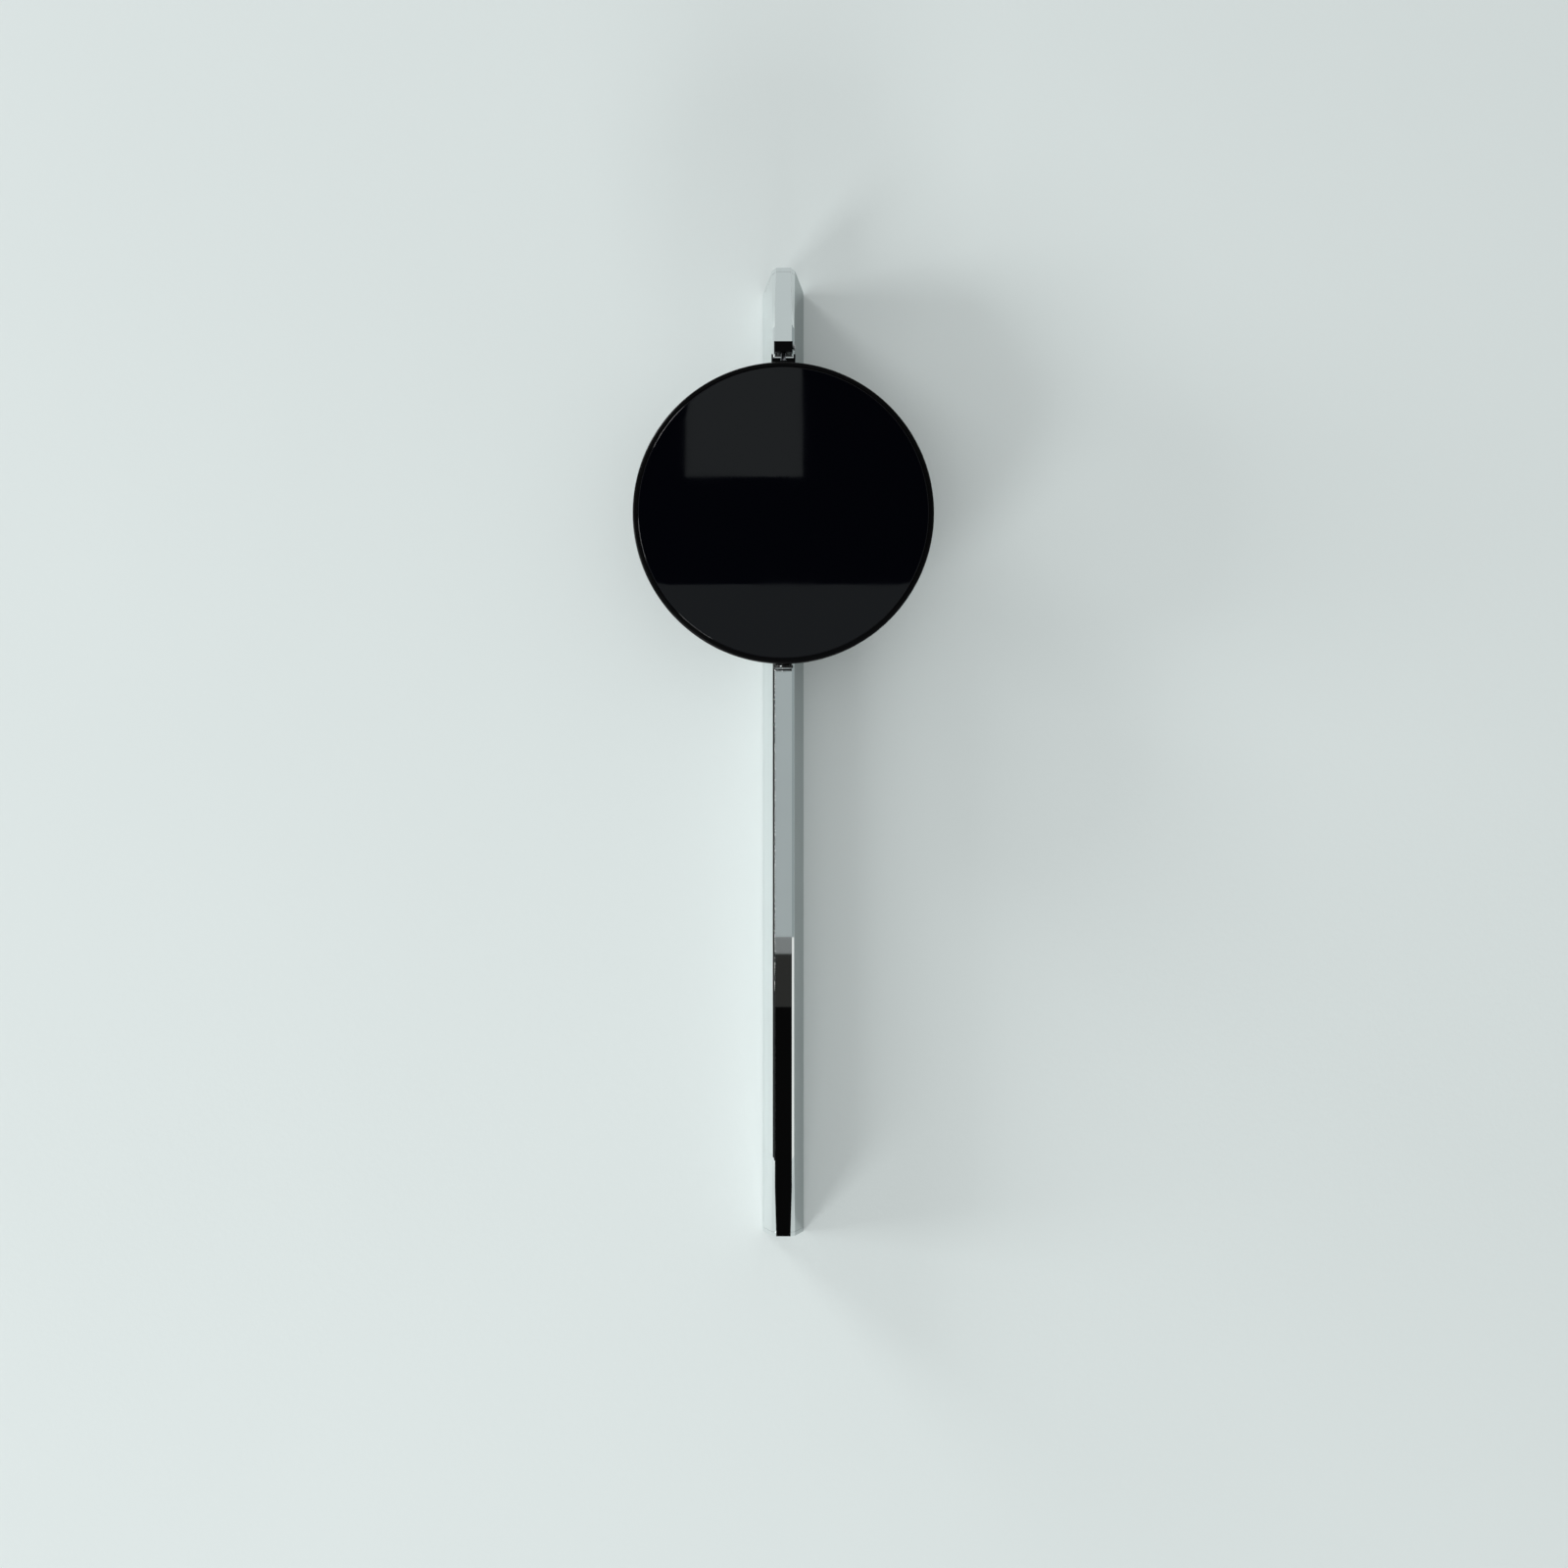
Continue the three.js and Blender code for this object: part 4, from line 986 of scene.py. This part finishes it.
def make_cover():
    """The movement's rear cover, with its battery bay, knob hole and moulded marks."""
    low, high = [corner / MM for corner in COVER]
    half, back, wall = high.x, high.y, 1.2
    inner = half - wall
    square = [(-half, -half), (half, -half), (half, half), (-half, half)]
    knob = middle("setting_knob") / MM
    cell = middle("head_battery") / MM
    cover = prism(square, low.y, back, "Y", 2.4, "movement_back")
    tools = [
        block((-inner, -70, -11.3), (inner, back - wall, inner)),
        block((-inner, -70, -inner), (inner, back - wall, -12.3)),
        prism([(-25.8, -26.9), (25.8, -26.9), (25.8, -13), (-25.8, -13)], -50, 0, "Y", 0.8),
        drill(7.7, -inner, inner, "X", (0, cell.y, cell.z)),
        drill(4.9, -50, 0, "Y", (knob.x, 0, knob.z)),
    ]
    depth = back - 0.35
    ring = [(6.2, depth), (6.8, depth), (6.8, back + 1), (6.2, back + 1)]
    arrow = turned("arrow", ring, "Y", (knob.x, 0, knob.z), 64)
    lower = block((knob.x - 9, depth - 1, knob.z - 9), (knob.x + 9, back + 2, knob.z + 1.5))
    tools.append(carve(arrow, lower))
    tip = knob.x + 6.5
    head = [(tip - 1.5, knob.z + 1.7), (tip + 1.5, knob.z + 1.7), (tip, knob.z - 0.9)]
    tools.append(prism(head, depth, back + 1, "Y"))
    for x, wide, tall in ((22, 1.6, 0.4), (22, 0.4, 1.6), (-23, 1.6, 0.4)):  # a plus and a minus
        tools.append(block((x - wide, depth, -8.2 - tall), (x + wide, back + 1, -8.2 + tall)))
    for x in (-23.5, 23.5):
        tools.append(drill(1.6, depth, back + 1, "Y", (x, 0, 23.5)))
        tools.append(drill(0.7, back - 0.8, back + 1, "Y", (x, 0, 23.5)))
    for i in range(6):
        z = 8 + 2.4 * i
        tools.append(prism([(3, z), (20, z), (20, z + 1), (3, z + 1)], depth, back + 1, "Y", 0.4))
    settle(polish(carve(cover, *tools), 0.12 * MM, 2), "head", "black_plastic", "movement_cover")


def make_knob():
    low, high = [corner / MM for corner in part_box("setting_knob")]
    place, r = middle("setting_knob") / MM, (high.x - low.x) / 2
    outline = [
        (0, high.y - 0.9), (1.1, high.y - 0.9), (1.1, low.y), (r, low.y, 0.2), (r, high.y, 0.35),
        (2.4, high.y, 0.2), (2.0, high.y - 0.4, 0.2), (0, high.y - 0.4),
    ]
    knob = turned("setting_knob_turned", outline, "Y", (place.x, 0, place.z), 128, dent=knurl(16, 0.4, r))
    settle(polish(knob, smooth=40), "motion", "black_plastic", "setting_knob")


def make_cap():
    low, high = [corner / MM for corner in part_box("hand_cap")]
    r = (high.x - low.x) / 2
    outline = [
        (0, low.y), (r * 0.6, low.y + 0.1, 2), (r, low.y + 0.55, 0.5), (r, high.y, 0.1), (1.8, high.y),
        (1.8, low.y + 0.6), (0, low.y + 0.6),
    ]
    cap = turned("hand_cap_turned", outline, "Y", (0, 0, 0), 48)
    settle(polish(cap), "minute", "black_satin", "hand_cap")


def make_cell(node, body, axis, centre):
    """A round cell with a plain sleeve in two bands and bright metal ends."""
    outline = [
        (0, -24.25), (4.4, -24.25, 0.1), (4.7, -24), (6.2, -24), (6.5, -24.25, 0.2),
        (7.1, -23.7, 0.3), (7.1, 13.9), (7.1, 14.1), (7.1, 23.5, 0.3), (6.5, 24.1, 0.3),
        (5.9, 24.1, 0.1), (5.6, 23.8), (2.9, 23.8), (2.7, 24), (2.7, 25.25, 0.3), (0, 25.25),
    ]
    cell = turned(node + "_turned", outline, axis, centre, 64)
    settle(polish(cell, smooth=40), body, "cell", node)
    cell.data.materials.append(CELL_BAND)
    cell.data.materials.append(MATERIALS["magnet"])
    along = "XYZ".index(axis)
    for face in cell.data.polygons:
        offset = face.center - Vector(centre) * MM
        here = offset[along]
        offset[along] = 0
        if offset.length < 6.9 * MM:
            face.material_index = 2
        elif here > 14 * MM:
            face.material_index = 1


def make_cells():
    head, spine = middle("head_battery") / MM, middle("spine_battery") / MM
    make_cell("head_battery", "head", "X", (head.x - 0.5, head.y, head.z))
    make_cell("spine_battery", "spine", "Z", (spine.x, spine.y, spine.z - 0.5))


def make_winding(node, axis, inner, body, pitch):
    """Wire turns lying side by side between a spool's flanges."""
    low, high = [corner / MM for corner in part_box(node)]
    place = middle(node) / MM
    along = "XYZ".index(axis)
    across = (along + 1) % 3
    outer = (high[across] - low[across]) / 2
    start, end = low[along], high[along]
    turns = round((end - start) / pitch)
    step = (end - start) / turns
    outline = [(inner, start)]
    wire = ((0.02, 0.35), (0.25, 0.07), (0.5, 0), (0.75, 0.07), (0.98, 0.35))  # shares of a turn
    for i in range(turns):
        for share, dip in wire:
            outline.append((outer - dip * pitch, start + (i + share) * step))
    outline.append((inner, end))
    centre = [0 if i == along else place[i] for i in range(3)]
    made = turned(node + "_wound", outline, axis, centre, 48)
    settle(polish(made, smooth=50), body, "copper", node)


def make_head():
    make_lens()
    make_bezel()
    make_pan()
    make_ring("lens_gasket", "rubber", 114.8, radius=0.5)
    make_ring("dial_plate", "black_satin", 4.4)
    make_ring("rubber_washer", "rubber", 4.3)
    make_magnet()
    make_rating()
    make_cover()
    make_knob()
    make_cap()
    make_cells()
    make_winding("drive_winding", "Y", 2.7, "spine", 0.35)
    make_winding("motor_winding", "X", 2.4, "head", 0.3)


# ---------------------------------------------------------------- stage, light and camera

def stage_quads(name, quads, material):
    """Flat cards or parts of a wall: for each its centre, and the half-vectors across and up it."""
    bm = bmesh.new()
    for quad in quads:
        centre, across, up = [Vector(v) for v in quad]
        corners = (-across - up, across - up, across + up, -across + up)
        bm.faces.new([bm.verts.new(centre + c) for c in corners])
    mesh = bpy.data.meshes.new(name)
    bm.to_mesh(mesh)
    bm.free()
    made = link(name, mesh)
    made.data.materials.append(material)
    return made


def make_wall():
    """The wall, with an opening behind the bar's channel, where it can't be seen from the front."""
    y = 0.6 * MM  # just clear of the bar and the rail
    hole, low, high = 15 * MM, -0.59, 0.18
    left, right, bottom, top = -2.6, 2.6, -2.0, 2.4
    quads = []
    for x0, x1, z0, z1 in (
        (left, -hole, bottom, top), (hole, right, bottom, top),
        (-hole, hole, bottom, low), (-hole, hole, high, top),
    ):
        centre = ((x0 + x1) / 2, y, (z0 + z1) / 2)
        quads.append((centre, ((x1 - x0) / 2, 0, 0), (0, 0, (z1 - z0) / 2)))
    stage_quads("wall", quads, wall_material())


def wall_material():
    """Pale painted plaster. Seen from behind it is clear, so that views from behind show the clock."""
    made = Finish("wall_paint", (0.777, 0.85, 0.842), 0.9)
    made.vary_color(made.noise(0.5, 4), 0.985)
    made.bump(made.noise(0.004, 4), 0.00006)
    facing = made.node("ShaderNodeNewGeometry")
    clear = made.node("ShaderNodeBsdfTransparent")
    mix = made.node("ShaderNodeMixShader")
    output = made.tree.nodes["Material Output"]
    made.join(facing.outputs["Backfacing"], mix.inputs[0])
    made.join(made.shader.outputs["BSDF"], mix.inputs[1])
    made.join(clear.outputs["BSDF"], mix.inputs[2])
    made.join(mix.outputs["Shader"], output.inputs["Surface"])
    return made.material


def glow(name, color, strength):
    material = bpy.data.materials.new(name)
    material.use_nodes = True
    tree = material.node_tree
    tree.nodes.clear()
    light = tree.nodes.new("ShaderNodeEmission")
    light.inputs["Color"].default_value = (*color, 1)
    light.inputs["Strength"].default_value = strength
    output = tree.nodes.new("ShaderNodeOutputMaterial")
    tree.links.new(light.outputs["Emission"], output.inputs["Surface"])
    return material


def painted_shade_material():
    """A clear sheet that lets two thirds of the light through, so that a reflection seen through it gets
    painted shade.
    """
    material = bpy.data.materials.new("shade")
    material.use_nodes = True
    tree = material.node_tree
    tree.nodes.clear()
    clear = tree.nodes.new("ShaderNodeBsdfTransparent")
    clear.inputs["Color"].default_value = (0.64, 0.66, 0.66, 1)
    output = tree.nodes.new("ShaderNodeOutputMaterial")
    tree.links.new(clear.outputs["BSDF"], output.inputs["Surface"])
    return material


def card(name, centre, across, up, color, strength):
    """A card that only reflections see."""
    made = stage_quads(name, [(centre, across, up)], glow(name, color, strength))
    made.visible_camera = False
    made.visible_diffuse = False
    made.visible_transmission = False
    made.visible_shadow = False
    return made


CARD_Y = -2.2  # depth of the cards behind the camera


def upright(name, x, z, y, color, strength):
    """A card across the room, between two x and two z."""
    centre = ((x[0] + x[1]) / 2, y, (z[0] + z[1]) / 2)
    card(name, centre, ((x[1] - x[0]) / 2, 0, 0), (0, 0, (z[1] - z[0]) / 2), color, strength)


def make_stage():
    make_wall()
    # the room that the chrome and the black disc mirror
    upright("mirrored_dark_room", (-1.3, 1.3), (0.14, 1.7), CARD_Y, (0.95, 1.0, 1.05), 0.012)
    upright("mirrored_window", (-0.31, 0.06), (0.48, 1.7), CARD_Y + 0.01, (0.92, 1.0, 1.0), 0.635)
    upright("mirrored_light_wall", (-1.3, 1.3), (-0.556, 0.14), CARD_Y, (0.91, 1.0, 1.01), 0.465)
    upright("mirrored_wall_foot", (-1.3, 1.3), (-0.593, -0.556), CARD_Y, (0.95, 1.0, 1.0), 0.24)
    upright("mirrored_skirting", (-1.3, 1.3), (-0.71, -0.593), CARD_Y, (1.0, 1.0, 0.95), 0.028)
    upright("mirrored_dark_card", (-1.3, 1.3), (-1.7, -0.71), CARD_Y, (1.0, 1.0, 1.0), 0.0028)
    # what the two front chamfers mirror, far to the left and right
    flag = (0, 0.225, 0)
    card("left_flag_high", (-2.6, -0.125, 1.15), flag, (0, 0, 0.65), (0.92, 1.0, 1.0), 0.7)
    card("left_flag_low", (-2.6, -0.125, -0.85), flag, (0, 0, 1.35), (0.9, 1.0, 1.0), 0.02)
    card("right_flag_high", (2.6, -0.125, 0.7), flag, (0, 0, 1.3), (0.86, 0.99, 1.0), 0.36)
    card("right_flag_low", (2.6, -0.125, -1.6), flag, (0, 0, 1), (0.98, 1.0, 0.98), 0.9)
    # painted shade: a clear sheet close to the bar's right side, seen only by that side's reflection,
    # which darkens the wall that this side mirrors
    shade = card("painted_side_shade", (0.05, -0.0001, -0.2), (0.032, 0, 0), (0, 0, 0.6), (0, 0, 0), 0)
    shade.data.materials[0] = painted_shade_material()


def area(name, turn, lift, energy, depth=3.0):
    """A soft light ten metres from the clock, three metres wide and so many deep off the wall.

    turn is its direction in the wall's plane, from +X towards +Z, and lift its angle off the wall.
    """
    data = bpy.data.lights.new(name, "AREA")
    data.shape, data.size, data.size_y = "RECTANGLE", 3, depth
    data.energy = energy
    made = bpy.data.objects.new(name, data)
    bpy.context.scene.collection.objects.link(made)
    target = Vector((0, 0, -0.2))  # the bar's middle
    a, e = math.radians(turn), math.radians(lift)
    away = Vector((math.cos(e) * math.cos(a), -math.sin(e), math.cos(e) * math.sin(a)))
    made.location = target + 10 * away
    off_wall = Vector((0, -1, 0)) - away * -away.y
    side = off_wall.cross(away)
    made.rotation_euler = Matrix((side, off_wall, away)).transposed().normalized().to_euler()
    return made


def make_lights():
    area("light_left", 180, 9.3, 628, 2.6)
    area("light_low_left", 225, 22, 350)
    area("light_below", 270, 8, 765).visible_glossy = False  # keeps the head's lower rim dark
    area("light_high_left", 135, 8, 620)
    world = bpy.data.worlds.new("room")
    world.use_nodes = True
    sky = world.node_tree.nodes["Background"]
    sky.inputs["Color"].default_value = (1, 1, 1, 1)
    sky.inputs["Strength"].default_value = 0.46
    bpy.context.scene.world = world


def make_camera():
    """Straight on to the wall, near the middle of the bar's height."""
    data = bpy.data.cameras.new("camera")
    data.lens, data.sensor_width = 36, 36
    data.clip_start, data.clip_end = 0.01, 20
    made = bpy.data.objects.new("camera", data)
    made.location = (0.0005, -1.3389, -0.2194)
    made.rotation_euler = (math.radians(90), 0, 0)
    bpy.context.scene.collection.objects.link(made)
    bpy.context.scene.camera = made


# Edge widths in millimetres for the CAD nodes that stay on show, where 0.12 doesn't suit
EDGES = {
    "drive_board": 0.05, "circuit_board": 0.05, "driver_chip": 0.08, "hour_markers": 0.08,
    "wall_rail": 0.25, "hanger_bar_upper": 0.3, "hanger_bar_lower": 0.3, "battery_holder": 0.3,
    "movement_base": 0.2, "rod_block": 0.4, "contact_positive": 0.06, "contact_negative": 0.06,
    "motor_stator": 0.06, "motor_core": 0.06, "minute_arbor": 0.04, "rotor": 0.03,
    "hour_wheel": 0.04, "motion_wheel": 0.04, "centre_wheel": 0.03, "third_wheel": 0.03,
    "second_wheel": 0.03, "intermediate_wheel": 0.03,
}

make_spine()
make_suspension()
make_head()
for row in frame["record"]["subparts"]:
    finish_node(row["node"], row["material_slot"])
    if row["node"] not in REPLACED:
        refine(row["node"], EDGES.get(row["node"], 0.12))
make_stage()
make_lights()
make_camera()
bpy.context.scene.view_settings.view_transform = "Standard"
